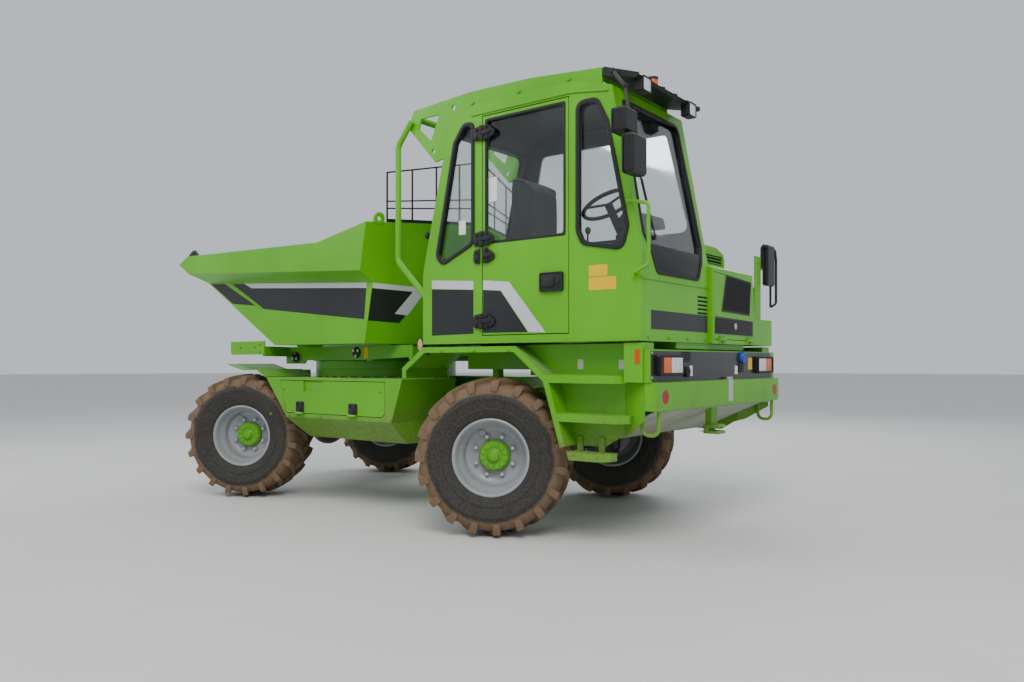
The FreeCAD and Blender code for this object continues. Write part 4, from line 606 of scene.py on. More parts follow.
def fastener_field():
    """Bolt heads on washers, one on each point, stood along the point's way attribute."""
    found = bpy.data.node_groups.get("Fastener field")
    if found:
        return found
    tree, start, end = geometry_tree("Fastener field", [
        ("Head radius", "NodeSocketFloat", 0.008), ("Head height", "NodeSocketFloat", 0.006),
        ("Sides", "NodeSocketInt", 6), ("Washer radius", "NodeSocketFloat", 0.011),
        ("Washer height", "NodeSocketFloat", 0.002), ("Finish", "NodeSocketMaterial", None),
    ])
    head = add_node(tree, "GeometryNodeMeshCylinder", {"Vertices": start.outputs["Sides"],
                                                       "Radius": start.outputs["Head radius"],
                                                       "Depth": start.outputs["Head height"]})
    washer = add_node(tree, "GeometryNodeMeshCylinder", {"Vertices": 20, "Radius": start.outputs["Washer radius"],
                                                         "Depth": start.outputs["Washer height"]})
    half = add_node(tree, "ShaderNodeMath", {0: start.outputs["Head height"], 1: 0.5}, operation="MULTIPLY")
    lift = add_node(tree, "ShaderNodeMath", {0: half.outputs[0], 1: start.outputs["Washer height"]}, operation="ADD")
    head_up = add_node(tree, "ShaderNodeCombineXYZ", {"Z": lift.outputs[0]})
    thin = add_node(tree, "ShaderNodeMath", {0: start.outputs["Washer height"], 1: 0.5}, operation="MULTIPLY")
    washer_up = add_node(tree, "ShaderNodeCombineXYZ", {"Z": thin.outputs[0]})
    raised = add_node(tree, "GeometryNodeTransform", {"Geometry": head.outputs["Mesh"], "Translation": head_up.outputs[0]})
    laid = add_node(tree, "GeometryNodeTransform", {"Geometry": washer.outputs["Mesh"], "Translation": washer_up.outputs[0]})
    joined = add_node(tree, "GeometryNodeJoinGeometry")
    tree.links.new(raised.outputs[0], joined.inputs[0])
    tree.links.new(laid.outputs[0], joined.inputs[0])
    way = add_node(tree, "GeometryNodeInputNamedAttribute", {"Name": "way"}, data_type="FLOAT_VECTOR")
    turn = add_node(tree, "FunctionNodeAlignRotationToVector", {"Vector": way.outputs["Attribute"]}, axis="Z")
    placed = add_node(tree, "GeometryNodeInstanceOnPoints", {"Points": start.outputs["Geometry"],
                                                             "Instance": joined.outputs[0],
                                                             "Rotation": turn.outputs[0]})
    real = add_node(tree, "GeometryNodeRealizeInstances", {0: placed.outputs[0]})
    done = add_node(tree, "GeometryNodeSetMaterial", {"Geometry": real.outputs[0], "Material": start.outputs["Finish"]})
    tree.links.new(done.outputs[0], end.inputs[0])
    return tree


def run_tree(item, tree, values):
    """Runs a geometry tree on an object with its inputs by name, and leaves the result as the plain mesh."""
    modifier = item.modifiers.new(tree.name, "NODES")
    modifier.node_group = tree
    for socket in tree.interface.items_tree:
        if socket.item_type == "SOCKET" and socket.in_out == "INPUT" and socket.name in values:
            modifier[socket.identifier] = values[socket.name]
    item.update_tag()
    bake_down(item)


def fasteners(name, spots, body, finish, radius=None, height=0.006, sides=6, washer=1.35, washer_height=0.002):
    """Bolt heads at (place, way) spots as one piece."""
    radius = radius or bpy.context.scene.dumper_fasteners.bolt_radius
    mesh = bpy.data.meshes.new(name)
    mesh.from_pydata([tuple(place) for place, way in spots], [], [])
    ways = mesh.attributes.new("way", "FLOAT_VECTOR", "POINT")
    for number, (place, way) in enumerate(spots):
        ways.data[number].vector = Vector(way).normalized()
    item = bpy.data.objects.new(name, mesh)
    bpy.context.scene.collection.objects.link(item)
    run_tree(item, fastener_field(), {"Head radius": radius, "Head height": height, "Sides": sides,
                                      "Washer radius": radius * washer, "Washer height": washer_height,
                                      "Finish": finish})
    item.data.shade_smooth()
    item.data.set_sharp_from_angle(angle=math.radians(35))
    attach(item, body)
    return item


def copies_in_ring():
    """Copies of an object about the Y axis, evenly spaced."""
    found = bpy.data.node_groups.get("Ring of copies")
    if found:
        return found
    tree, start, end = geometry_tree("Ring of copies", [
        ("Copied", "NodeSocketObject", None), ("Count", "NodeSocketInt", 12), ("Finish", "NodeSocketMaterial", None),
    ])
    points = add_node(tree, "GeometryNodePoints", {"Count": start.outputs["Count"], "Position": (0, 0, 0), "Radius": 0.1})
    info = add_node(tree, "GeometryNodeObjectInfo", {"Object": start.outputs["Copied"]})
    number = add_node(tree, "GeometryNodeInputIndex")
    share = add_node(tree, "ShaderNodeMath", {0: number.outputs[0], 1: start.outputs["Count"]}, operation="DIVIDE")
    turn = add_node(tree, "ShaderNodeMath", {0: share.outputs[0], 1: 2 * math.pi}, operation="MULTIPLY")
    spin = add_node(tree, "ShaderNodeCombineXYZ", {"Y": turn.outputs[0]})
    spun = add_node(tree, "FunctionNodeEulerToRotation", {0: spin.outputs[0]})
    placed = add_node(tree, "GeometryNodeInstanceOnPoints", {"Points": points.outputs[0],
                                                             "Instance": info.outputs["Geometry"],
                                                             "Rotation": spun.outputs[0]})
    real = add_node(tree, "GeometryNodeRealizeInstances", {0: placed.outputs[0]})
    joined = add_node(tree, "GeometryNodeJoinGeometry")
    tree.links.new(real.outputs[0], joined.inputs[0])
    tree.links.new(start.outputs["Geometry"], joined.inputs[0])
    done = add_node(tree, "GeometryNodeSetMaterial", {"Geometry": joined.outputs[0], "Material": start.outputs["Finish"]})
    tree.links.new(done.outputs[0], end.inputs[0])
    return tree


def copies_in_row():
    """Copies of an object, each one step on from the last."""
    found = bpy.data.node_groups.get("Row of copies")
    if found:
        return found
    tree, start, end = geometry_tree("Row of copies", [
        ("Count", "NodeSocketInt", 5), ("Step", "NodeSocketVector", (0, 0, 0.02)), ("Finish", "NodeSocketMaterial", None),
    ])
    line = add_node(tree, "GeometryNodeMeshLine", {"Count": start.outputs["Count"], "Offset": start.outputs["Step"]})
    placed = add_node(tree, "GeometryNodeInstanceOnPoints", {"Points": line.outputs[0],
                                                             "Instance": start.outputs["Geometry"]})
    real = add_node(tree, "GeometryNodeRealizeInstances", {0: placed.outputs[0]})
    done = add_node(tree, "GeometryNodeSetMaterial", {"Geometry": real.outputs[0], "Material": start.outputs["Finish"]})
    tree.links.new(done.outputs[0], end.inputs[0])
    return tree


def row(shape, name, count, step, body, slot, finish, bevel=0.0):
    """A shape repeated along a step as one piece."""
    item = shape.piece(name, body, slot, [finish], bevel)
    run_tree(item, copies_in_row(), {"Count": count, "Step": Vector(step), "Finish": finish})
    return item


# Wheels, drawn about the Y axis with the kingpin at the origin

def wheel_place(axle_x, sign):
    turned = Matrix.Rotation(STEER_REST, 4, "Z")
    if sign < 0:
        turned = turned @ Matrix.Rotation(math.pi, 4, "Z")
    return Matrix.Translation((axle_x, sign * KINGPIN_Y, AXLE_Z)) @ turned


def tread_radius(y, top=0.535):
    """Crown of the tread at a distance from the tyre's middle."""
    return top - 0.016 * (abs(y) / 0.2) ** 2


def lug_pair(sense):
    """One bar on each half of the tread, staggered by half a pitch, raked back from the middle."""
    settings = bpy.context.scene.dumper_tyres
    half_pitch = math.pi / settings.lugs
    shape = Shape()
    for half, shift in ((1, 0.0), (-1, half_pitch)):
        stations = []
        for y, ahead, width, top, low in (
                (-0.012, 0.000, 0.80, tread_radius(0), 0.494),
                (0.050, 0.050, 0.90, tread_radius(0.05), 0.494),
                (0.110, 0.092, 1.00, tread_radius(0.11), 0.490),
                (0.165, 0.118, 1.15, tread_radius(0.165), 0.480),
                (0.206, 0.130, 1.30, tread_radius(0.206) - 0.004, 0.458),
                (0.2185, 0.133, 1.30, 0.478, 0.440),
                (0.2150, 0.134, 1.15, 0.446, 0.432)):
            stations.append((half * y, sense * ahead / 0.5 + shift, settings.lug_width * width / 2, top, low))
        verts = []
        for y, angle, wide, top, low in stations:
            foot = wide * 1.22
            inner = -half * 0.020 if abs(y) > 0.2 else 0.0
            for radius, across, lean in ((low, -foot, inner), (top - 0.005, -wide, 0), (top, -wide + 0.005, 0),
                                         (top, wide - 0.005, 0), (top - 0.005, wide, 0), (low, foot, inner)):
                turn = angle + across / 0.52
                verts.append((radius * math.sin(turn), y + lean, radius * math.cos(turn)))
        faces = []
        for i in range(len(stations) - 1):
            for k in range(6):
                m = (k + 1) % 6
                faces.append([i * 6 + k, i * 6 + m, (i + 1) * 6 + m, (i + 1) * 6 + k])
        faces.append(list(range(6)))
        faces.append([(len(stations) - 1) * 6 + k for k in range(6)])
        shape.solid(verts, faces)
    return shape


def tyre_carcass():
    """Sidewalls with raised rings, and the carcass under the bars."""
    half = [(0.262, 0.180), (0.275, 0.192), (0.300, 0.204), (0.318, 0.2065), (0.322, 0.2095), (0.330, 0.2095),
            (0.334, 0.207), (0.360, 0.214), (0.392, 0.2175), (0.396, 0.2195), (0.402, 0.2195), (0.406, 0.217),
            (0.430, 0.213), (0.452, 0.205), (0.474, 0.192), (0.488, 0.175), (0.497, 0.130), (0.502, 0.060)]
    profile = half + [(0.503, 0.0)] + [(r, -y) for r, y in reversed(half)] + [(0.248, -0.176), (0.248, 0.176)]
    shape = Shape()
    shape.lathe(profile, (0, 0, 0), (0, 1, 0), 120, closed=True)
    return shape


def solid_mesh(shape, name):
    mesh = bpy.data.meshes.new(name)
    mesh.from_pydata(shape.verts, [], shape.faces)
    work = bmesh.new()
    work.from_mesh(mesh)
    bmesh.ops.recalc_face_normals(work, faces=work.faces)
    work.to_mesh(mesh)
    work.free()
    return mesh


def tyre_mesh(sense):
    bars = bpy.data.objects.new("lug_pair", solid_mesh(lug_pair(sense), "lug_pair"))
    bpy.context.scene.collection.objects.link(bars)
    body = bpy.data.objects.new("tyre_body", solid_mesh(tyre_carcass(), "tyre_body"))
    bpy.context.scene.collection.objects.link(body)
    run_tree(body, copies_in_ring(), {"Copied": bars, "Count": bpy.context.scene.dumper_tyres.lugs,
                                      "Finish": tyre_rubber()})
    mesh = body.data.copy()
    mesh.transform(Matrix.Translation((0, HUB_OFFSET, 0)))
    bpy.data.objects.remove(body)
    bpy.data.objects.remove(bars)
    mark = mesh.attributes.new("tread", "FLOAT", "POINT")
    for vert in mesh.vertices:
        reach = math.hypot(vert.co.x, vert.co.z)
        mark.data[vert.index].value = min(1.0, max(0.0, (reach - 0.400) / 0.06))
    mesh.materials.clear()
    return mesh


def rim_shape():
    shape = Shape()
    outer = [(0.260, 0.188), (0.2635, 0.185), (0.2635, 0.179), (0.258, 0.176), (0.248, 0.174), (0.245, 0.130),
             (0.238, 0.118), (0.220, 0.096), (0.216, 0.080), (0.216, -0.070), (0.245, -0.130), (0.248, -0.174),
             (0.260, -0.182), (0.260, -0.188)]
    inner = [(0.244, -0.184), (0.238, -0.170), (0.236, -0.134), (0.207, -0.074), (0.207, 0.072), (0.210, 0.088),
             (0.2295, 0.112), (0.2365, 0.126), (0.2390, 0.168), (0.246, 0.184), (0.254, 0.1895)]
    shape.lathe(outer + inner, (0, HUB_OFFSET, 0), (0, 1, 0), 96, closed=True)
    disc = [(0.062, 0.000), (0.062, 0.012), (0.150, 0.012), (0.162, 0.014), (0.176, 0.028), (0.192, 0.031),
            (0.2065, 0.031), (0.2065, 0.018), (0.190, 0.018), (0.170, 0.010), (0.158, 0.000)]
    shape.lathe(disc, (0, HUB_OFFSET, 0), (0, 1, 0), 96, closed=True)
    return shape


def hub_shape():
    shape = Shape()
    profile = [(0.0451, -0.095), (0.092, -0.095), (0.096, -0.090), (0.096, -0.0003), (0.062, -0.0003),
               (0.062, 0.0123), (0.108, 0.0123), (0.110, 0.016), (0.108, 0.040), (0.101, 0.046), (0.100, 0.058),
               (0.096, 0.062), (0.060, 0.064), (0.056, 0.060), (0.050, 0.060), (0.046, 0.066), (0.038, 0.070),
               (0.036, 0.084), (0.030, 0.088), (0.0, 0.088), (0.0, 0.0), (0.0451, 0.0)]
    shape.lathe(profile, (0, HUB_OFFSET, 0), (0, 1, 0), 72, closed=True)
    for k in range(12):
        turn = 2 * math.pi * (k + 0.5) / 12
        x, z = math.sin(turn), math.cos(turn)
        shape.lathe([(0, 0.055), (0.0155, 0.055), (0.0155, 0.066), (0.012, 0.069), (0, 0.069)],
                    (x * 0.079, HUB_OFFSET, z * 0.079), (0, 1, 0), 12)
    return shape


class DUMPER_OT_wheels(bpy.types.Operator):
    """Tyres with tread bars, rims, hubs and wheel nuts"""
    bl_idname = "dumper.wheels"
    bl_label = "Wheels"

    def execute(self, context):
        meshes = {1: tyre_mesh(1), -1: tyre_mesh(-1)}
        for end, axle_x in ENDS:
            for side, sign in SIDES:
                tail = end + "_" + side
                body = "wheel_" + tail
                place = wheel_place(axle_x, sign)
                mesh = meshes[sign].copy()
                mesh.transform(place)
                dress("tyre_tread_" + tail, mesh, body, [tyre_rubber()], replaces=["tyre_" + tail])
                rim_shape().moved(place).piece("rim_dress_" + tail, body, "silver_paint", [silver()],
                                               replaces=["rim_" + tail])
                hub_shape().moved(place).piece("hub_dress_" + tail, body, "green_paint", [lime()],
                                               replaces=["hub_" + tail])
                out = place.to_3x3() @ Vector((0, 1, 0))
                nuts = []
                for k in range(8):
                    turn = 2 * math.pi * (k + 0.5) / 8
                    spot = Vector((math.sin(turn) * 0.1375, HUB_OFFSET + 0.012, math.cos(turn) * 0.1375))
                    nuts.append((place @ spot, out))
                fasteners("nuts_" + tail, nuts, body, silver(),
                          radius=context.scene.dumper_fasteners.nut_radius, height=0.018, washer=1.45,
                          washer_height=0.004)
                studs = [(spot + out * 0.02, out) for spot, way in nuts]
                fasteners("stud_ends_" + tail, studs, body, zinc(), radius=0.009, height=0.012,
                          sides=14, washer=1.0)
                plug = Shape()
                plug.lathe([(0, 0.012), (0.024, 0.012), (0.024, 0.036), (0.020, 0.040), (0, 0.040)],
                           (0.085, HUB_OFFSET, 0.155), (0, 1, 0), 24)
                plug.moved(place).piece("rim_plug_" + tail, body, "silver_paint", [silver()], 0.001)
        return {"FINISHED"}


# Camera, light and floor

class DUMPER_OT_stage(bpy.types.Operator):
    """Pale floor, soft light and the camera at the photograph's angle"""
    bl_idname = "dumper.stage"
    bl_label = "Stage"

    def execute(self, context):
        data = bpy.data.cameras.new("camera")
        data.lens = 29.14
        data.sensor_width = 36.0
        data.shift_y = 0.0211
        data.clip_end = 300.0
        camera = bpy.data.objects.new("camera", data)
        context.scene.collection.objects.link(camera)
        yaw = math.radians(37.3)
        camera.location = (-4.76, 5.42, 1.17)
        look = Vector((math.sin(yaw), -math.cos(yaw), 0))
        camera.rotation_euler = look.to_track_quat("-Z", "Y").to_euler()
        context.scene.camera = camera
        world = bpy.data.worlds.new("sky")
        world.use_nodes = True
        world.node_tree.nodes["Background"].inputs[0].default_value = (0.80, 0.84, 0.90, 1)
        world.node_tree.nodes["Background"].inputs[1].default_value = 0.80
        context.scene.world = world
        for name, place, size, power, tint in (
                ("key", (-6.0, 7.0, 9.0), 6.0, 900.0, (1.0, 0.99, 0.97)),
                ("fill", (7.0, 5.0, 7.0), 7.0, 350.0, (0.95, 0.97, 1.0)),
                ("back", (2.0, -9.0, 8.0), 7.0, 450.0, (0.97, 0.98, 1.0))):
            light = bpy.data.lights.new(name, "AREA")
            light.shape = "DISK"
            light.size = size
            light.energy = power
            light.color = tint
            lamp = bpy.data.objects.new(name, light)
            lamp.location = place
            lamp.rotation_euler = (Vector((0, 0, 1.2)) - Vector(place)).to_track_quat("-Z", "Y").to_euler()
            context.scene.collection.objects.link(lamp)
        mesh = bpy.data.meshes.new("floor")
        rings = [(0.001, 0.0)] + [(radius, 0.0) for radius in (2, 5, 10, 20, 40, 90)]
        shape = Shape()
        shape.lathe(rings + [(90, -0.05), (0.001, -0.05)], (0, 0, 0), (0, 0, 1), 64, closed=True)
        mesh = solid_mesh(shape, "floor")
        material, tree, bsdf = blank_material("Pale floor")
        place = add_node(tree, "ShaderNodeTexCoord").outputs["Object"]
        cloud = add_node(tree, "ShaderNodeTexNoise", {"Vector": place, "Scale": 1.2, "Detail": 4.0})
        tone = add_node(tree, "ShaderNodeMix", {0: cloud.outputs["Fac"], 6: (0.60, 0.59, 0.57, 1), 7: (0.66, 0.65, 0.63, 1)},
                        data_type="RGBA")
        tree.links.new(tone.outputs[2], bsdf.inputs["Base Color"])
        bsdf.inputs["Roughness"].default_value = 0.8
        mesh.materials.append(material)
        floor = bpy.data.objects.new("floor", mesh)
        context.scene.collection.objects.link(floor)
        return {"FINISHED"}


class DUMPER_OT_paintwork(bpy.types.Operator):
    """Finishes of the pieces that stay as the frame gives them"""
    bl_idname = "dumper.paintwork"
    bl_label = "Paintwork"

    def execute(self, context):
        finishes = {
            "lime": (lime, ("skip", "hood", "turntable", "rops_frame", "handrails", "hatch_near", "hatch_far")),
            "cab": (cab_paint, ("cab_shell", "cab_roof", "cab_door")),
            "low": (lime_low, ("side_boxes", "rear_bumper", "front_fenders", "rear_fenders", "chassis_frame",
                               "tow_hitch", "ring_base", "cab_carrier")),
            "black": (black_paint, ("skip_guard", "tip_cylinder_barrel", "cab_floor", "axle_front", "axle_rear")),
            "plastic": (black_plastic, ("light_bar", "steering_console", "seat_base")),
        }
        for key, (make, names) in finishes.items():
            for name in names:
                refinish(name, make())
        refinish("hood_door", lime())
        dark = (0.008, 0.008, 0.009)
        refinish("lamp_panel", two_tone("Lamp panel", colours().lime, dark, (("X", -2.60, -2.4403),)))
        refinish("mirrors", two_tone("Mirror set", dark, colours().lime, (("Y", -0.868, -0.700), ("Z", 1.40, 2.00))))
        refinish("belly_plate", paint("Worn belly plate", (0.30, 0.36, 0.27), rough=0.5, coat=0.0, mud_height=0.9,
                                      mud=0.8, dust=0.3))
        refinish("cab_glass", clear("Window glass", (0.86, 0.92, 0.90)))
        refinish("door_glass", clear("Window glass", (0.86, 0.92, 0.90)))
        refinish("tip_cylinder_rod", metal("Chrome rod", (0.75, 0.75, 0.77), rough=0.12, scratch=0.08))
        for name in ("steer_rod_front", "steer_rod_rear"):
            refinish(name, metal("Steel rod", (0.45, 0.44, 0.43), rough=0.35))
        for end, axle_x in ENDS:
            for side, sign in SIDES:
                refinish("knuckle_" + end + "_" + side, black_paint())
        refinish("engine_block", paint("Engine casting", (0.16, 0.16, 0.17), rough=0.6, coat=0.0))
        return {"FINISHED"}


def refinish(node, material):
    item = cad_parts[node]
    if not item.material_slots:
        item.data.materials.append(material)
    for place in item.material_slots:
        place.material = material


# Outlines of the cab's openings, as the frame has them

FRONT_QUARTER = [(-1.015, 2.815), (-1.094, 2.810), (-1.094, 1.992), (-0.817, 1.868), (-0.765, 1.925), (-0.930, 2.700)]
REAR_QUARTER = [(-1.949, 2.790), (-2.085, 2.790), (-2.160, 2.645), (-2.300, 1.992), (-2.265, 1.862), (-1.986, 1.914),
                (-1.949, 1.998)]
FAR_WINDOW = [(-1.000, 2.790), (-2.090, 2.790), (-2.270, 2.060), (-0.860, 2.060)]
REAR_SCREEN = [(0.255, 1.720), (0.845, 1.720), (0.985, 1.950), (0.955, 2.790), (0.195, 2.790), (0.165, 1.950)]
FRONT_SCREEN = [(0.165, 1.920), (0.985, 1.920), (0.965, 2.780), (0.185, 2.780)]
DOOR_WINDOW = [(-1.202, 1.977), (-1.202, 2.822), (-1.854, 2.822), (-1.854, 1.977)]
NEAR_Y, FAR_Y = 1.050, 0.100
REAR_X, FRONT_X = -2.392, -0.623
REAR_LEAN = [(1.837, 0.0), (2.860, 0.198)]
FRONT_LEAN = [(1.790, 0.0), (1.860, -0.011), (2.590, -0.192), (2.790, -0.247), (2.890, -0.337)]


def lean(shape, line):
    """Moves a shape drawn on an upright wall so that it follows the wall's slope, given as (z, shift) upwards."""
    moved = []
    for x, y, z in shape.verts:
        shift = line[0][1]
        for (z0, s0), (z1, s1) in zip(line, line[1:]):
            if z > z0:
                shift = s0 + (s1 - s0) * min(1.0, (z - z0) / (z1 - z0))
        moved.append((x + shift, y, z))
    shape.verts = moved
    return shape


def split_at(points, levels):
    """Closed outline with a point added wherever it crosses one of the heights."""
    for level in levels:
        cut = []
        for i, (y0, z0) in enumerate(points):
            y1, z1 = points[(i + 1) % len(points)]
            cut.append((y0, z0))
            if (z0 - level) * (z1 - level) < 0:
                cut.append((y0 + (y1 - y0) * (level - z0) / (z1 - z0), level))
        points = cut
    return points


def film(name, outlines, y, body, slot, finish, sign=1, thick=0.0008):
    """Thin stickers in X and Z on an upright side face."""
    shape = Shape()
    for outline in outlines:
        shape.prism(outline, sign * (y + 0.0002), sign * (y + 0.0002 + thick))
    return shape.piece(name, body, slot, [finish])


def rect(a0, a1, b0, b1):
    return [(a0, b0), (a1, b0), (a1, b1), (a0, b1)]


# Skip and turntable

def skip_fold(x):
    """Height of the fold under the skip's side band."""
    return 1.790 + 0.0524 * (x + 0.080)


def on_rear_wall(y, z, out=0.0):
    """Point on the outside of the skip's rear wall; out is the distance off it."""
    corner = Vector((0.065, 0.980, 1.320))
    normal = (Vector((-0.080, 1.100, 2.240)) - corner).cross(Vector((-0.300, 0.0, 2.240)) - corner).normalized()
    if normal.x > 0:
        normal.negate()
    x = corner.x - (normal.y * (abs(y) - corner.y) + normal.z * (z - corner.z)) / normal.x
    point = Vector((x, abs(y), z)) + normal * out
    return Vector((point.x, math.copysign(point.y, y), point.z))


def wall_film(name, outlines, sign, finish, slot):
    shape = Shape()
    for outline in outlines:
        corners = [on_rear_wall(sign * y, z, 0.0003) for y, z in outline]
        push = on_rear_wall(sign * 0.8, 1.7, 0.0011) - on_rear_wall(sign * 0.8, 1.7, 0.0003)
        shape.plate(corners, push)
    return shape.piece(name, "skip", slot, [finish])


def eye_plate(width, height, hole, thick):
    """Lifting eye in X and Z, its foot at the origin."""
    centre = height - width / 2
    outer, inner = [], []
    for k in range(32):
        turn = 2 * math.pi * k / 32
        a, b = math.cos(turn), math.sin(turn)
        outer.append((width / 2 * a, centre + width / 2 * b) if b >= 0 else
                     (width / 2 * max(-1, min(1, a * 1.8)), centre * (1 + b)))
        inner.append((hole * a, centre + hole * b))
    shape = Shape()
    shape.band(outer, inner, -thick / 2, thick / 2)
    return shape


class DUMPER_OT_skip_trim(bpy.types.Operator):
    """Bands, ribs, lifting eyes and lip tabs of the skip, and its pivot caps"""
    bl_idname = "dumper.skip_trim"
    bl_label = "Skip trim"

    def execute(self, context):
        for side, sign in SIDES:
            film("skip_band_" + side, [
                [(2.140, skip_fold(2.140) - 0.006), (1.925, skip_fold(1.925) - 0.006), (1.461, 1.672), (1.800, 1.702)],
                [(1.815, skip_fold(1.815) - 0.006), (1.634, skip_fold(1.634) - 0.006), (1.520, skip_fold(1.520) - 0.047),
                 (0.046, skip_fold(0.046) - 0.047), (0.070, 1.508), (1.341, 1.637)]],
                 0.980, "skip", "charcoal_paint", charcoal(), sign)
            film("skip_stripe_" + side, [
                [(1.630, skip_fold(1.630) - 0.004), (0.044, skip_fold(0.044) - 0.004), (0.046, skip_fold(0.046) - 0.045),
                 (1.516, skip_fold(1.516) - 0.045)]], 0.980, "skip", "silver_paint", stripe(), sign)
            rib = Shape()
            rib.prism([(1.890, skip_fold(1.890) - 0.003), (1.858, skip_fold(1.858) - 0.003), (1.366, 1.640), (1.396, 1.640)],
                      sign * 0.9795, sign * 0.985)
            rib.piece("skip_rib_" + side, "skip", "green_paint", [lime()], 0.0015)
            wall_film("skip_rear_band_" + side, [
                [(0.976, 1.746), (0.603, 1.738), (0.745, 1.558), (0.640, 1.548), (0.690, 1.487), (0.976, 1.497)]],
                sign, charcoal(), "charcoal_paint")
            wall_film("skip_rear_stripe_" + side, [
                [(0.976, 1.788), (0.560, 1.778), (0.500, 1.722), (0.625, 1.550), (0.745, 1.559), (0.601, 1.740),
                 (0.976, 1.748)]], sign, stripe(), "silver_paint")
            foot = on_rear_wall(sign * 0.990, 2.230, -0.004)
            along = (on_rear_wall(sign * 1.040, 2.230) - on_rear_wall(sign * 0.940, 2.230)).normalized()
            up = (on_rear_wall(sign * 0.990, 2.230) - on_rear_wall(sign * 0.990, 2.130)).normalized()
            frame = Matrix((along, along.cross(up), up)).transposed().to_4x4()
            eye_plate(0.096, 0.092, 0.017, 0.016).moved(Matrix.Translation(foot) @ frame).piece(
                "lifting_eye_" + side, "skip", "green_paint", [lime()], 0.0015)
            tab = Shape()
            tab.prism([(2.150, 2.140), (2.330, 2.140), (2.318, 2.176), (2.262, 2.210), (2.222, 2.210), (2.180, 2.172)],
                      sign * 1.0835, sign * 1.0945)
            tab.lathe([(0, 0), (0.011, 0), (0.011, 0.008), (0, 0.008)], (2.245, sign * 1.0945, 2.185), (0, sign, 0), 18)
            tab.piece("lip_tab_" + side, "skip", "black_plastic", [seal_rubber()], 0.001)
            cap = Shape()
            cap.lathe([(0, 0.0003), (0.047, 0.0003), (0.047, 0.008), (0.043, 0.011), (0.016, 0.011), (0.013, 0.014),
                       (0, 0.014)], (1.300, sign * 0.672, 1.220), (0, sign, 0), 36)
            cap.piece("pivot_cap_" + side, "skip", "black_paint", [black_paint()], 0.0008)
            bolts = []
            for k in range(3):
                turn = math.radians(90 + 120 * k)
                bolts.append(((1.300 + 0.031 * math.cos(turn), sign * 0.683, 1.220 + 0.031 * math.sin(turn)), (0, sign, 0)))
            fasteners("pivot_bolts_" + side, bolts, "skip", zinc(), radius=0.0085, height=0.007)
        weld = Shape()
        for side, sign in SIDES:
            weld.tube([on_rear_wall(sign * 0.980, 1.330), on_rear_wall(sign * 0.980, 1.785)], 0.004, steps=8)
        weld.piece("skip_corner_weld", "skip", "green_paint", [lime()])
        return {"FINISHED"}


class DUMPER_OT_turntable_trim(bpy.types.Operator):
    """Ring bolts, pin caps with their bolts, yellow plates and nose bolts of the turntable"""
    bl_idname = "dumper.turntable_trim"
    bl_label = "Turntable trim"

    def execute(self, context):
        top, low = [], []
        for k in range(36):
            turn = 2 * math.pi * (k + 0.5) / 36
            a, b = math.cos(turn), math.sin(turn)
            if abs(0.585 * b) < 0.585:
                top.append(((0.830 + 0.560 * a, 0.560 * b, 1.186), (0, 0, 1)))
            low.append(((0.830 + 0.625 * a, 0.625 * b, 1.0498), (0, 0, -1)))
        top = [spot for spot in top if not (abs(spot[0][0] - 1.025) < 0.075 or abs(spot[0][0] - 0.360) < 0.055)]
        fasteners("ring_bolts_top", top, "turntable", zinc(), radius=0.013, height=0.012)
        fasteners("ring_bolts_low", low, "chassis", zinc(), radius=0.013, height=0.016)
        for side, sign in SIDES:
            cap = Shape()
            cap.lathe([(0, 0.0002), (0.046, 0.0002), (0.046, 0.008), (0.042, 0.011), (0.018, 0.011), (0.014, 0.014),
                       (0, 0.014)], (0.509, sign * 0.660, 1.255), (0, sign, 0), 36)
            cap.piece("stay_cap_" + side, "turntable", "black_paint", [black_paint()], 0.0008)
            bolts = []
            for k in range(3):
                turn = math.radians(30 + 120 * k)
                bolts.append(((0.509 + 0.031 * math.cos(turn), sign * 0.671, 1.255 + 0.031 * math.sin(turn)), (0, sign, 0)))
            fasteners("stay_bolts_" + side, bolts, "turntable", zinc(), radius=0.0085, height=0.007)
            film("turntable_plate_" + side, [rect(0.372, 0.420, 1.205, 1.298)], 0.660, "turntable", "green_paint",
                 yellow_label(), sign)
            nose = [((x, sign * 0.9995, z), (0, -sign, 0)) for x, z in ((1.350, 1.330), (1.350, 1.265))]
            fasteners("nose_bolts_" + side, [((x, sign * 1.018, z), (0, sign, 0)) for (x, y, z), way in nose],
                      "turntable", lime(), radius=0.010, height=0.007)
        return {"FINISHED"}


# Cab

def cab_paint():
    """Body paint whose faces that look into the cab are painted dark grey."""
    found = bpy.data.materials.get("Cab paint")
    if found:
        return found
    material = paint("Cab paint", colours().lime)
    tree = material.node_tree
    bsdf = next(node for node in tree.nodes if node.type == "BSDF_PRINCIPLED")
    outside = bsdf.inputs["Base Color"].links[0].from_socket
    gloss = bsdf.inputs["Roughness"].links[0].from_socket
    mask = add_node(tree, "ShaderNodeGroup", node_tree=inner_face_mask()).outputs[0]
    # Dark grey on the inner faces of the cab walls and roof.
    inside = add_node(tree, "ShaderNodeMix", {0: mask, 6: outside, 7: (0.040, 0.042, 0.046, 1)}, data_type="RGBA")
    dull = add_node(tree, "ShaderNodeMix", {0: mask, 2: gloss, 3: 0.8}, data_type="FLOAT")
    tree.links.new(inside.outputs[2], bsdf.inputs["Base Color"])
    tree.links.new(dull.outputs[0], bsdf.inputs["Roughness"])
    return material


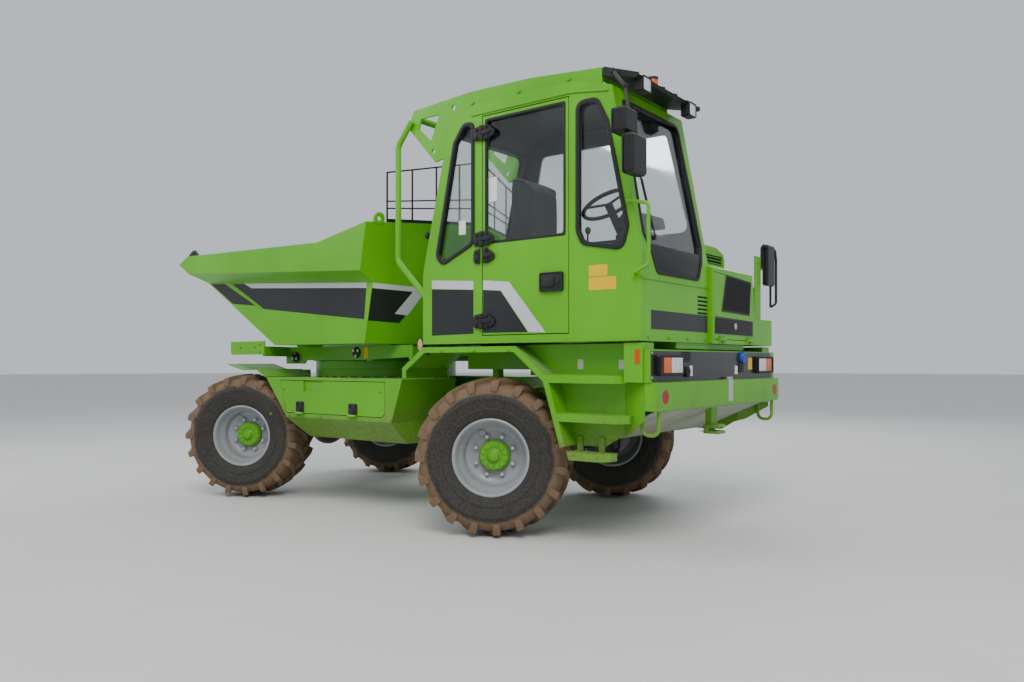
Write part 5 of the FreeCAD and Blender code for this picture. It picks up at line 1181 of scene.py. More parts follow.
def two_tone(name, first, second, limits):
    """Moulded or painted piece that changes colour where Object coordinates lie between limits of X, Y and Z."""
    found = bpy.data.materials.get(name)
    if found:
        return found
    material = paint(name, first, rough=0.40, coat=0.05)
    tree = material.node_tree
    dirt = next(node for node in tree.nodes if node.type == "GROUP")
    base = dirt.inputs["Colour"].links[0].from_socket
    place = add_node(tree, "ShaderNodeSeparateXYZ", {0: add_node(tree, "ShaderNodeTexCoord").outputs["Object"]})
    inside = None
    for axis, low, high in limits:
        over = add_node(tree, "ShaderNodeMath", {0: place.outputs[axis], 1: low}, operation="GREATER_THAN")
        under = add_node(tree, "ShaderNodeMath", {0: place.outputs[axis], 1: high}, operation="LESS_THAN")
        both = add_node(tree, "ShaderNodeMath", {0: over.outputs[0], 1: under.outputs[0]}, operation="MULTIPLY")
        inside = both if inside is None else add_node(tree, "ShaderNodeMath", {0: inside.outputs[0], 1: both.outputs[0]},
                                                      operation="MULTIPLY")
    mixed = add_node(tree, "ShaderNodeMix", {0: inside.outputs[0], 6: base, 7: rgba(second)}, data_type="RGBA")
    tree.links.new(mixed.outputs[2], dirt.inputs["Colour"])
    return material


def inner_face_mask():
    """1 on the faces of the cab walls that look into the cab."""
    tree, start, end = group_tree("Inner face mask", [], [("Mask", "NodeSocketFloat")])
    place = add_node(tree, "ShaderNodeSeparateXYZ", {0: add_node(tree, "ShaderNodeTexCoord").outputs["Object"]})
    facing = add_node(tree, "ShaderNodeSeparateXYZ",
                      {0: add_node(tree, "ShaderNodeNewGeometry").outputs["True Normal"]})
    total = None
    for axis, way, limit, limit_way in (("Y", -1, 0.90, 1), ("Y", 1, 0.20, -1), ("X", -1, -1.20, 1), ("X", 1, -1.90, -1),
                                        ("Z", -1, 2.70, 1)):
        turned = add_node(tree, "ShaderNodeMath", {0: facing.outputs[axis], 1: float(way)}, operation="MULTIPLY")
        faces_in = add_node(tree, "ShaderNodeMath", {0: turned.outputs[0], 1: 0.30}, operation="GREATER_THAN")
        kind = "GREATER_THAN" if limit_way > 0 else "LESS_THAN"
        near = add_node(tree, "ShaderNodeMath", {0: place.outputs[axis], 1: limit}, operation=kind)
        both = add_node(tree, "ShaderNodeMath", {0: faces_in.outputs[0], 1: near.outputs[0]}, operation="MULTIPLY")
        total = both if total is None else add_node(tree, "ShaderNodeMath", {0: total.outputs[0], 1: both.outputs[0]},
                                                    operation="MAXIMUM")
    tree.links.new(total.outputs[0], end.inputs[0])
    return tree


def window_seal(name, outline, low, high, body="chassis", out=0.015, deep=0.013, radius=0.055):
    shape = Shape()
    shape.band(fillet(grow(outline, out), radius + out), fillet(grow(outline, -deep), radius), low, high)
    return shape.piece(name, body, "black_plastic", [seal_rubber()], 0.003)


def screen_seal(name, outline, wall, line, out, deep, levels):
    """Rubber frame of a windscreen, on a wall that leans."""
    push = math.copysign(0.006, out)
    shape = Shape()
    outer = split_at(fillet(grow(outline, 0.008), 0.06), levels)
    inner = split_at(fillet(grow(outline, -deep), 0.05), levels)
    shape.band(outer, inner, wall + push, wall - push * 0.6, "X")
    lean(shape, line).piece(name, "chassis", "black_plastic", [seal_rubber()], 0.002)


def door_hinge(z, real):
    """Black cast hinge over a door hinge of the frame; the one without a pin is only a stay bracket."""
    door = Shape()
    door.prism([(-1.190, z + 0.048), (-1.222, z + 0.058), (-1.268, z + 0.026), (-1.290, z + 0.008), (-1.290, z - 0.020),
                (-1.236, z - 0.046), (-1.190, z - 0.048)], NEAR_Y + 0.0062, NEAR_Y + 0.016, mark=0)
    door.prism([(-1.192, z + 0.016), (-1.260, z + 0.010), (-1.260, z - 0.008), (-1.192, z - 0.015)],
               NEAR_Y + 0.0155, NEAR_Y + 0.023)
    if real:
        door.lathe([(0.0122, -0.0148), (0.0165, -0.0148), (0.0165, 0.0148), (0.0122, 0.0148)],
                   (-1.177, NEAR_Y + 0.012, z), (0, 0, 1), 24, closed=True)
    door.piece("door_hinge_%d" % (z * 1000), "cab_door", "black_plastic", [black_plastic()], 0.002)
    cab = Shape()
    cab.prism([(-1.163, z + 0.050), (-1.120, z + 0.046), (-1.108, z + 0.024), (-1.108, z - 0.024), (-1.120, z - 0.046),
               (-1.163, z - 0.050)], NEAR_Y + 0.0062, NEAR_Y + 0.015)
    if real:
        for low, high in ((-0.052, -0.0168), (0.0168, 0.052)):
            cab.lathe([(0.0122, low), (0.0165, low), (0.0165, high), (0.0122, high)],
                      (-1.177, NEAR_Y + 0.012, z), (0, 0, 1), 24, closed=True)
    cab.piece("cab_hinge_%d" % (z * 1000), "chassis", "black_plastic", [black_plastic()], 0.002)
    fasteners("cab_hinge_bolts_%d" % (z * 1000), [((-1.136, NEAR_Y + 0.0148, z + step), (0, 1, 0))
                                                   for step in (-0.027, 0.027)],
              "chassis", black_plastic(), radius=0.009, height=0.006)
    fasteners("door_hinge_bolts_%d" % (z * 1000), [((-1.224, NEAR_Y + 0.0158, z + 0.036), (0, 1, 0)),
                                                    ((-1.232, NEAR_Y + 0.0158, z - 0.030), (0, 1, 0))],
              "cab_door", black_plastic(), radius=0.009, height=0.006)


class DUMPER_OT_cab_trim(bpy.types.Operator):
    """Window seals, door hinges and latch, side bands, blank plates, wiper and louvres"""
    bl_idname = "dumper.cab_trim"
    bl_label = "Cab trim"

    def execute(self, context):
        window_seal("seal_front_quarter", FRONT_QUARTER, NEAR_Y - 0.020, NEAR_Y + 0.009)
        window_seal("seal_rear_quarter", REAR_QUARTER, NEAR_Y - 0.020, NEAR_Y + 0.009)
        window_seal("seal_far_window", FAR_WINDOW, FAR_Y - 0.009, FAR_Y + 0.020)
        window_seal("seal_door_window", DOOR_WINDOW, NEAR_Y - 0.012, NEAR_Y + 0.0015, "cab_door", 0.004, 0.016, 0.02)
        screen_seal("seal_rear_screen", REAR_SCREEN, REAR_X, REAR_LEAN, -1, 0.014, (1.837,))
        screen_seal("seal_front_screen", FRONT_SCREEN, FRONT_X, FRONT_LEAN, 1, 0.014, (2.590,))
        panel = Shape()
        outline = split_at([(0.262, 1.728), (0.838, 1.728), (0.938, 1.895), (0.190, 1.895)], (1.837,))
        panel.prism(outline, REAR_X + 0.001, REAR_X + 0.012, "X")
        lean(panel, REAR_LEAN).piece("screen_lower_panel", "chassis", "charcoal_paint", [charcoal()], 0.002)
        wiper = Shape()
        wiper.rod((REAR_X - 0.012, 0.855, 1.935), (REAR_X + 0.010, 0.855, 1.935), 0.014)
        wiper.tube([(REAR_X - 0.014, 0.855, 1.935), (REAR_X - 0.016, 0.905, 2.300)], 0.005, steps=8)
        wiper.tube([(REAR_X - 0.010, 0.868, 1.990), (REAR_X - 0.010, 0.930, 2.500)], 0.006, steps=8)
        lean(wiper, REAR_LEAN).piece("rear_wiper", "chassis", "black_plastic", [black_plastic()])
        film("cab_band", [[(-0.712, 1.694), (-1.098, 1.669), (-1.098, 1.368), (-0.712, 1.362)]], NEAR_Y, "chassis",
             "charcoal_paint", charcoal())
        film("cab_stripe", [[(-0.712, 1.757), (-1.098, 1.731), (-1.098, 1.672), (-0.712, 1.697)]], NEAR_Y, "chassis",
             "silver_paint", stripe())
        film("door_band", [[(-1.184, 1.663), (-1.334, 1.651), (-1.561, 1.370), (-1.184, 1.372)]], NEAR_Y, "cab_door",
             "charcoal_paint", charcoal())
        film("door_stripe", [[(-1.184, 1.730), (-1.404, 1.708), (-1.701, 1.366), (-1.566, 1.370), (-1.339, 1.653),
                              (-1.184, 1.667)]], NEAR_Y, "cab_door", "silver_paint", stripe())
        for z, real in ((2.730, True), (2.010, True), (1.893, False), (1.450, True)):
            door_hinge(z, real)
        latch = Shape()
        latch.band(fillet(rect(-1.842, -1.664, 1.624, 1.748), 0.016), fillet(rect(-1.832, -1.674, 1.634, 1.738), 0.010),
                   NEAR_Y - 0.002, NEAR_Y + 0.020)
        latch.prism(rect(-1.833, -1.673, 1.633, 1.739), NEAR_Y + 0.0002, NEAR_Y + 0.0166)
        latch.prism(fillet(rect(-1.780, -1.686, 1.654, 1.716), 0.012), NEAR_Y + 0.0160, NEAR_Y + 0.0235)
        latch.lathe([(0, 0.016), (0.017, 0.016), (0.017, 0.021), (0.008, 0.0215), (0, 0.0205)], (-1.808, NEAR_Y, 1.686),
                    (0, 1, 0), 28)
        latch.piece("door_latch", "cab_door", "black_plastic", [black_plastic()], 0.0015)
        film("blank_plates", [rect(-2.162, -2.029, 1.701, 1.771), rect(-2.223, -2.029, 1.617, 1.695)], NEAR_Y, "chassis",
             "green_paint", yellow_label())
        pale = paint("Blank label", (0.72, 0.74, 0.70), rough=0.45, coat=0.0, mud=0.1, dust=0.05, soft_edge=0.0)
        film("glass_labels", [rect(-1.012, -0.950, 2.062, 2.160)], NEAR_Y - 0.0195, "chassis", "silver_paint", pale)
        film("door_glass_label", [rect(-1.290, -1.222, 2.262, 2.425)], NEAR_Y - 0.0168, "cab_door", "silver_paint", pale)
        sill = Shape()
        sill.prism(rect(-2.380, -0.640, 1.3005, 1.3080), NEAR_Y - 0.001, NEAR_Y + 0.010)
        sill.piece("sill_fold", "chassis", "green_paint", [lime()], 0.002)
        strip = Shape()
        strip.prism(rect(0.112, 0.925, 1.374, 1.490), REAR_X - 0.0012, REAR_X - 0.0002, "X")
        strip.piece("rear_strip", "chassis", "charcoal_paint", [charcoal()])
        slot = Shape()
        slot.box((REAR_X + 0.0070, 0.1125, 1.4953), (REAR_X + 0.0078, 0.2665, 1.5082))
        row(slot, "rear_louvre_shade", 5, (0, 0, 0.027), "chassis", "black_plastic", black_plastic())
        fold = Shape()
        fold.prism(rect(0.104, 1.046, 1.672, 1.684), REAR_X - 0.006, REAR_X + 0.001, "X")
        fold.piece("rear_fold", "chassis", "green_paint", [lime()], 0.0025)
        gutter = Shape()
        gutter.tube([(-1.085, NEAR_Y + 0.002, 2.868), (-1.900, NEAR_Y + 0.002, 2.868), (-2.170, NEAR_Y + 0.002, 2.830)],
                    0.007, bend=0.3, steps=10)
        gutter.piece("roof_gutter", "chassis", "green_paint", [lime()])
        bolts = [((REAR_X, y, 1.325), (-1, 0, 0)) for y in (0.150, 0.420, 0.690, 0.960)]
        fasteners("rear_wall_bolts", bolts, "chassis", lime())
        return {"FINISHED"}


# Inside the cab

def pad_blank(low, high, crown, bolster, axis):
    """Crowned pad as a grid shell: bolsters at its sides, rounded ends, flat back. Axis is the way it faces."""
    steps = 26
    shape = Shape()
    verts, faces = [], []

    def spot(u, v, top):
        across = 2 * u - 1
        along = 2 * v - 1
        pull = 1 - 0.06 * abs(across) ** 4 * abs(along) ** 4
        edge = max(abs(across) ** 6, abs(along) ** 8)
        side = low[1] + (high[1] - low[1]) * (0.5 + across / 2 * pull)
        if axis == "Z":
            run = low[0] + (high[0] - low[0]) * (0.5 + along / 2 * pull)
            base, full = low[2], high[2]
        else:
            run = low[2] + (high[2] - low[2]) * (0.5 + along / 2 * pull)
            base, full = low[0], high[0]
        rise = full - base
        if top:
            level = base + rise * (0.80 + crown * (1 - along ** 2) + bolster * abs(across) ** 3) * (1 - 0.42 * edge)
        else:
            level = base + rise * 0.02
        if axis == "Z":
            return (run, side, level)
        return (base + full - level, side, run)

    for top in (True, False):
        for i in range(steps + 1):
            for j in range(steps + 1):
                verts.append(spot(i / steps, j / steps, top))
    size = (steps + 1) ** 2
    for i in range(steps):
        for j in range(steps):
            a = i * (steps + 1) + j
            quad = [a, a + 1, a + steps + 2, a + steps + 1]
            faces.append(quad)
            faces.append([size + v for v in reversed(quad)])
    rim = [j for j in range(steps)] + [i * (steps + 1) + steps for i in range(steps)]
    rim += [steps * (steps + 1) + j for j in range(steps, 0, -1)] + [i * (steps + 1) for i in range(steps, 0, -1)]
    for a, b in zip(rim, rim[1:] + rim[:1]):
        faces.append([a, b, size + b, size + a])
    shape.solid(verts, faces)
    return shape


def swell(item, cap, hold):
    """Lets the pad swell under pressure as cloth, moving no point further than the cap; held points stay."""
    remesh = item.modifiers.new("Voxels", "REMESH")
    remesh.mode = "VOXEL"
    remesh.voxel_size = 0.006
    bake_down(item)
    rest = [vert.co.copy() for vert in item.data.vertices]
    pins = item.vertex_groups.new(name="held")
    pins.add([vert.index for vert in item.data.vertices if hold(vert.co)], 1.0, "REPLACE")
    cloth = item.modifiers.new("Swell", "CLOTH")
    settings = cloth.settings
    settings.quality = 5
    settings.mass = 0.3
    settings.tension_stiffness = settings.compression_stiffness = 15
    settings.bending_stiffness = 0.8
    settings.use_pressure = True
    settings.uniform_pressure_force = 4
    settings.vertex_group_mass = "held"
    settings.effector_weights.gravity = 0
    cloth.point_cache.frame_end = 20
    for frame in range(1, 21):
        bpy.context.scene.frame_set(frame)
    bake_down(item)
    bpy.context.scene.frame_set(1)
    places = []
    for vert, start in zip(item.data.vertices, rest):
        step = vert.co - start
        places += list(start + step * min(1.0, cap / max(step.length, 1e-6)))
    item.data.vertices.foreach_set("co", places)
    smooth = item.modifiers.new("Smooth", "SUBSURF")
    smooth.levels = smooth.render_levels = 1
    bake_down(item)


def press(value, seams, depth, width):
    """How far a sewn channel pulls the cover in at a distance across it."""
    total = 0.0
    for seam in seams:
        total = max(total, depth * math.exp(-((value - seam) / width) ** 2))
    return total


def seat_pad(name, low, high, axis, seams, node):
    item = bpy.data.objects.new(name, solid_mesh(pad_blank(low, high, 0.06, 0.10, axis), name))
    bpy.context.scene.collection.objects.link(item)
    base = low[2] if axis == "Z" else high[0]
    swell(item, 0.024, lambda co: abs((co.z if axis == "Z" else co.x) - base) < 0.022)
    facing = Vector((0, 0, 1)) if axis == "Z" else Vector((-1, 0, 0))
    inner = (low[1] + 0.075, high[1] - 0.075)
    places = []
    for vert in item.data.vertices:
        turned = max(0.0, vert.normal.dot(facing))
        run = vert.co.x if axis == "Z" else vert.co.z
        inside = 1.0 if inner[0] < vert.co.y < inner[1] else 0.0
        dip = max(press(vert.co.y, inner, 0.009, 0.006), inside * press(run, seams, 0.007, 0.006))
        spot = vert.co - facing * dip * turned
        places += [min(max(spot[k], low[k]), high[k]) for k in range(3)]
    item.data.vertices.foreach_set("co", places)
    item.data.update()
    item.data.materials.clear()
    item.data.materials.append(seat_cloth())
    item.data.shade_smooth()
    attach(item, "chassis")
    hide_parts(node)
    return item


def seat_cloth():
    """Dark woven cover with a fine two-way thread."""
    found = bpy.data.materials.get("Seat cloth")
    if found:
        return found
    material, tree, bsdf = blank_material("Seat cloth")
    place = add_node(tree, "ShaderNodeTexCoord").outputs["Object"]
    warp = add_node(tree, "ShaderNodeTexWave", {"Vector": place, "Scale": 190.0, "Distortion": 0.6}, bands_direction="Y")
    weft = add_node(tree, "ShaderNodeTexWave", {"Vector": place, "Scale": 190.0, "Distortion": 0.6},
                    bands_direction="DIAGONAL")
    thread = add_node(tree, "ShaderNodeMath", {0: warp.outputs["Fac"], 1: weft.outputs["Fac"]}, operation="MULTIPLY")
    worn = add_node(tree, "ShaderNodeTexNoise", {"Vector": place, "Scale": 14.0, "Detail": 5.0})
    tone = add_node(tree, "ShaderNodeMix", {0: thread.outputs[0], 6: (0.016, 0.017, 0.019, 1), 7: (0.062, 0.064, 0.070, 1)},
                    data_type="RGBA")
    faded = add_node(tree, "ShaderNodeMix", {0: worn.outputs["Fac"], 6: tone.outputs[2], 7: (0.045, 0.046, 0.050, 1)},
                     data_type="RGBA")
    tree.links.new(faded.outputs[2], bsdf.inputs["Base Color"])
    bsdf.inputs["Roughness"].default_value = 0.9
    bsdf.inputs["Sheen Weight"].default_value = 0.35
    bump = add_node(tree, "ShaderNodeBump", {"Height": thread.outputs[0], "Strength": 0.4, "Distance": 0.001})
    tree.links.new(bump.outputs[0], bsdf.inputs["Normal"])
    return material


class DUMPER_OT_cab_inside(bpy.types.Operator):
    """Seat pads, dash binnacle, levers, floor mat and grab rail"""
    bl_idname = "dumper.cab_inside"
    bl_label = "Cab inside"

    def execute(self, context):
        seat_pad("cushion_cover", (-1.808, 0.312, 1.836), (-1.362, 0.808, 1.954), "Z", (-1.70, -1.59, -1.48),
                 "seat_cushion")
        seat_pad("backrest_cover", (-1.350, 0.322, 1.916), (-1.232, 0.798, 2.474), "X", (2.05, 2.18, 2.31),
                 "seat_back")
        rail = Shape()
        rail.tube([(-1.922, 1.010, 2.030), (-1.872, 0.978, 2.052), (-1.872, 0.978, 2.640), (-1.922, 1.010, 2.665)],
                  0.011, bend=0.02, steps=12)
        rail.piece("inner_grab_rail", "chassis", "green_paint", [lime()])
        hood_cover = Shape()
        hood_cover.prism(fillet([(-2.245, 2.050), (-2.225, 2.125), (-2.060, 2.150), (-2.020, 2.110), (-2.020, 2.050)],
                                0.012, 3), 0.440, 0.680)
        hood_cover.piece("dash_hood", "chassis", "black_plastic", [dark_lining_and_shade()], 0.006)
        dial = Shape()
        for y, size in ((0.500, 0.036), (0.620, 0.036), (0.560, 0.020)):
            dial.lathe([(0, 0), (size, 0), (size, 0.004), (size - 0.003, 0.004), (size - 0.004, 0.0015), (0, 0.0015)],
                       (-2.0635, y, 2.1495), (0.10, 0, 1), 28)
        dial.piece("dash_dials", "chassis", "black_plastic", [metal("Dial face", (0.30, 0.31, 0.32), rough=0.4)])
        levers = Shape()
        for x, y, tall in ((-1.900, 0.868, 0.26), (-1.840, 0.868, 0.22), (-1.780, 0.868, 0.22)):
            levers.tube([(x, y, 1.820), (x - 0.010, y, 1.820 + tall * 0.7)], 0.006, steps=8)
            levers.lathe([(0, 0), (0.012, 0.002), (0.019, 0.020), (0.018, 0.036), (0.010, 0.046), (0, 0.048)],
                         (x - 0.010, y, 1.820 + tall * 0.68), (0, 0, 1), 18)
        levers.piece("side_levers", "chassis", "black_plastic", [black_plastic()])
        side = Shape()
        side.prism(fillet([(-2.000, 1.380), (-1.960, 1.825), (-1.420, 1.825), (-1.400, 1.380)], 0.03, 4), 0.835, 0.905)
        side.piece("side_console", "chassis", "black_plastic", [dark_lining_and_shade()], 0.008)
        mat = Shape()
        mat.prism(fillet(rect(-2.300, -0.720, 0.160, 0.980), 0.04), 1.3755, 1.3830, "Z")
        mat.piece("floor_mat", "chassis", "black_plastic", [seal_rubber()], 0.002)
        rib = Shape()
        rib.prism([(-2.280, 0.170), (-2.272, 0.170), (-2.272, 0.970), (-2.280, 0.970)], 1.3825, 1.3855, "Z")
        row(rib, "mat_ribs", 40, (0.039, 0, 0), "chassis", "black_plastic", seal_rubber())
        return {"FINISHED"}


# Roof, lamps and mirrors

def lens(name, colour, rough=0.06):
    """Ribbed lamp glass; its flutes are a bump across Y, and painted shade darkens the colour between them."""
    found = bpy.data.materials.get(name)
    if found:
        return found
    material, tree, bsdf = blank_material(name)
    place = add_node(tree, "ShaderNodeTexCoord").outputs["Object"]
    flute = add_node(tree, "ShaderNodeTexWave", {"Vector": place, "Scale": 38.0}, bands_direction="Y")
    haze = add_node(tree, "ShaderNodeTexNoise", {"Vector": place, "Scale": 30.0, "Detail": 4.0})
    # Darker copy of the lens colour, mixed in along the flutes: painted shade of the flutes.
    deep = tuple(v * 0.55 for v in colour)
    tone = add_node(tree, "ShaderNodeMix", {0: flute.outputs["Fac"], 6: rgba(deep), 7: rgba(colour)}, data_type="RGBA")
    tree.links.new(tone.outputs[2], bsdf.inputs["Base Color"])
    gloss = add_node(tree, "ShaderNodeMapRange", {"Value": haze.outputs["Fac"], "To Min": rough, "To Max": rough + 0.14})
    tree.links.new(gloss.outputs[0], bsdf.inputs["Roughness"])
    bsdf.inputs["Coat Weight"].default_value = 0.3
    bsdf.inputs["Coat Roughness"].default_value = 0.04
    bsdf.inputs["Specular IOR Level"].default_value = 0.3
    bump = add_node(tree, "ShaderNodeBump", {"Height": flute.outputs["Fac"], "Strength": 0.35, "Distance": 0.002})
    tree.links.new(bump.outputs[0], bsdf.inputs["Normal"])
    return material


def amber():
    return lens("Amber lens", (0.85, 0.14, 0.002))


def white_lens():
    return lens("Clear lens", (0.78, 0.80, 0.82), 0.04)


def red_lens():
    return lens("Red lens", (0.36, 0.004, 0.004))


def mirror_glass():
    return metal("Mirror glass", (0.80, 0.82, 0.84), rough=0.05, scratch=0.03)


class DUMPER_OT_roof_and_lamps(bpy.types.Operator):
    """Visor stiffeners, work lamps, beacon and the roll frame's fixings"""
    bl_idname = "dumper.roof_and_lamps"
    bl_label = "Roof and lamps"

    def execute(self, context):
        for tail, y in (("near", 0.900), ("far", 0.260)):
            ring = Shape()
            ring.band(fillet(rect(y - 0.054, y + 0.054, 2.821, 2.914), 0.014), fillet(rect(y - 0.047, y + 0.047, 2.828, 2.907),
                      0.010), -2.357, -2.345, "X")
            ring.piece("work_lamp_rim_" + tail, "chassis", "black_plastic", [black_plastic()], 0.001)
            face = Shape()
            face.prism(fillet(rect(y - 0.0475, y + 0.0475, 2.8275, 2.9075), 0.010), -2.3525, -2.3495, "X")
            face.piece("work_lamp_glass_" + tail, "chassis", "glass", [white_lens()], 0.0008)
            fin = Shape()
            fin.box((-2.3035, y - 0.050, 2.826), (-2.2880, y + 0.050, 2.829))
            row(fin, "work_lamp_fins_" + tail, 8, (0, 0, 0.0115), "chassis", "black_plastic", black_plastic())
        beacon = Shape()
        beacon.lathe([(0, 2.9700), (0.0410, 2.9700), (0.0410, 2.9850), (0.0385, 2.9870), (0.0385, 3.0300), (0.0360, 3.0440),
                      (0.0280, 3.0520), (0.0140, 3.0555), (0, 3.0560)], (-2.180, 0.500, 0), (0, 0, 1), 40)
        beacon.piece("beacon_cap", "chassis", "glass", [amber()])
        foot = Shape()
        foot.lathe([(0, 2.950), (0.050, 2.950), (0.050, 2.962), (0.0425, 2.972), (0, 2.972)], (-2.180, 0.500, 0), (0, 0, 1), 36)
        foot.piece("beacon_foot", "chassis", "black_plastic", [black_plastic()])
        stiff = Shape()
        stiff.plate([(-2.098, 0.128, 2.9960), (-2.345, 0.128, 2.9095), (-2.345, 0.134, 2.9095), (-2.098, 0.134, 2.9960)],
                    (0, 0, 0.010))
        row(stiff, "visor_ribs", 6, (0, 0.1716, 0), "chassis", "black_plastic", black_plastic())
        spots = []
        for x in (-1.05, -1.45, -1.85):
            spots.append(((x, 1.000, 2.975), (0, 1, 0)))
        fasteners("roll_frame_bolts", spots, "chassis", lime(), radius=0.012, height=0.008)
        for tail, y in (("near", 0.905), ("far", 0.215)):
            pod = Shape()
            pod.prism(fillet(rect(y - 0.040, y + 0.040, 2.925, 2.995), 0.012), -0.985, -0.925, "X", mark=0)
            pod.prism(fillet(rect(y - 0.033, y + 0.033, 2.932, 2.988), 0.010), -0.9255, -0.9215, "X", mark=1)
            pod.tube([(-0.960, y, 2.900), (-0.960, y, 2.935)], 0.010, steps=12)
            pod.piece("skip_lamp_" + tail, "chassis", "black_plastic", [black_plastic(), white_lens()], 0.0015)
        low = Shape()
        low.lathe([(0, -0.052), (0.026, -0.050), (0.040, -0.038), (0.052, -0.010), (0.052, 0.004), (0.046, 0.006),
                   (0.0455, 0.000), (0, 0.000)], (-0.535, 0.985, 1.300), (0.35, 0.90, 0.0), 32)
        low.tube([(-0.5530, 0.9390, 1.300), (-0.585, 0.955, 1.250), (-0.590, 0.960, 1.225)], 0.010, steps=10)
        low.piece("corner_lamp", "chassis", "black_plastic", [black_plastic()])
        glass = Shape()
        glass.lathe([(0, -0.001), (0.0453, -0.001), (0.0453, 0.003), (0.030, 0.008), (0, 0.010)], (-0.535, 0.985, 1.300),
                    (0.35, 0.90, 0.0), 32)
        glass.piece("corner_lamp_glass", "chassis", "glass", [lens("Pale amber lens", (0.80, 0.52, 0.22))])
        knob = Shape()
        knob.lathe([(0, -0.002), (0.020, -0.002), (0.020, 0.010), (0.014, 0.014), (0.014, 0.026), (0.026, 0.030),
                    (0.028, 0.052), (0.022, 0.060), (0, 0.062)], (-0.6880, 1.010, 2.080), (1, 0.1, 0.2), 24)
        knob.piece("pillar_buffer", "chassis", "black_plastic", [seal_rubber()])
        return {"FINISHED"}


class DUMPER_OT_mirror_trim(bpy.types.Operator):
    """Mirror glasses, their rims and the ball joints on the arms"""
    bl_idname = "dumper.mirror_trim"
    bl_label = "Mirror trim"

    def execute(self, context):
        for name, x, ys, zs, radius in (("wide", -2.330, (1.133, 1.287), (2.493, 2.637), 0.022),
                                        ("tall", -2.400, (1.113, 1.287), (2.253, 2.477), 0.024),
                                        ("far", -2.400, (-1.059, -0.908), (1.773, 2.087), 0.022)):
            rim = Shape()
            outer = fillet(rect(ys[0], ys[1], zs[0], zs[1]), radius)
            inner = fillet(rect(ys[0] + 0.008, ys[1] - 0.008, zs[0] + 0.008, zs[1] - 0.008), radius - 0.006)
            rim.band(outer, inner, x - 0.006, x + 0.005, "X")
            rim.piece("mirror_rim_" + name, "chassis", "black_plastic", [black_plastic()], 0.0015)
            face = Shape()
            face.prism(fillet(rect(ys[0] + 0.0075, ys[1] - 0.0075, zs[0] + 0.0075, zs[1] - 0.0075), radius - 0.006),
                       x + 0.0003, x + 0.0018, "X")
            face.piece("mirror_face_" + name, "chassis", "glass", [mirror_glass()])
        arm = Shape()
        arm.tube([(-2.425, -0.845, 2.075), (-2.432, -1.085, 2.060), (-2.432, -1.105, 1.980), (-2.432, -1.105, 1.640),
                  (-2.425, -1.020, 1.610)], 0.010, bend=0.03)
        arm.piece("far_mirror_guard", "chassis", "black_plastic", [black_plastic()])
        joints = Shape()
        for place in ((-2.330, 1.130, 2.800), (-2.425, 1.195, 2.440), (-2.375, 1.160, 2.570), (-2.200, 1.050, 2.940)):
            joints.lathe([(0, -0.020), (0.012, -0.017), (0.019, -0.008), (0.020, 0.0), (0.019, 0.008), (0.012, 0.017),
                          (0, 0.020)], place, (0.2, 1, 0), 20)
        joints.piece("mirror_joints", "chassis", "black_plastic", [black_plastic()])
        return {"FINISHED"}


# Hood and rear face

def span_at(outline, level, axis=1):
    """Where a line across a closed outline goes in and out."""
    hits = []
    for (a0, b0), (a1, b1) in zip(outline, outline[1:] + outline[:1]):
        p0, q0, p1, q1 = (b0, a0, b1, a1) if axis else (a0, b0, a1, b1)
        if (p0 - level) * (p1 - level) < 0:
            hits.append(q0 + (q1 - q0) * (level - p0) / (p1 - p0))
    return min(hits), max(hits)


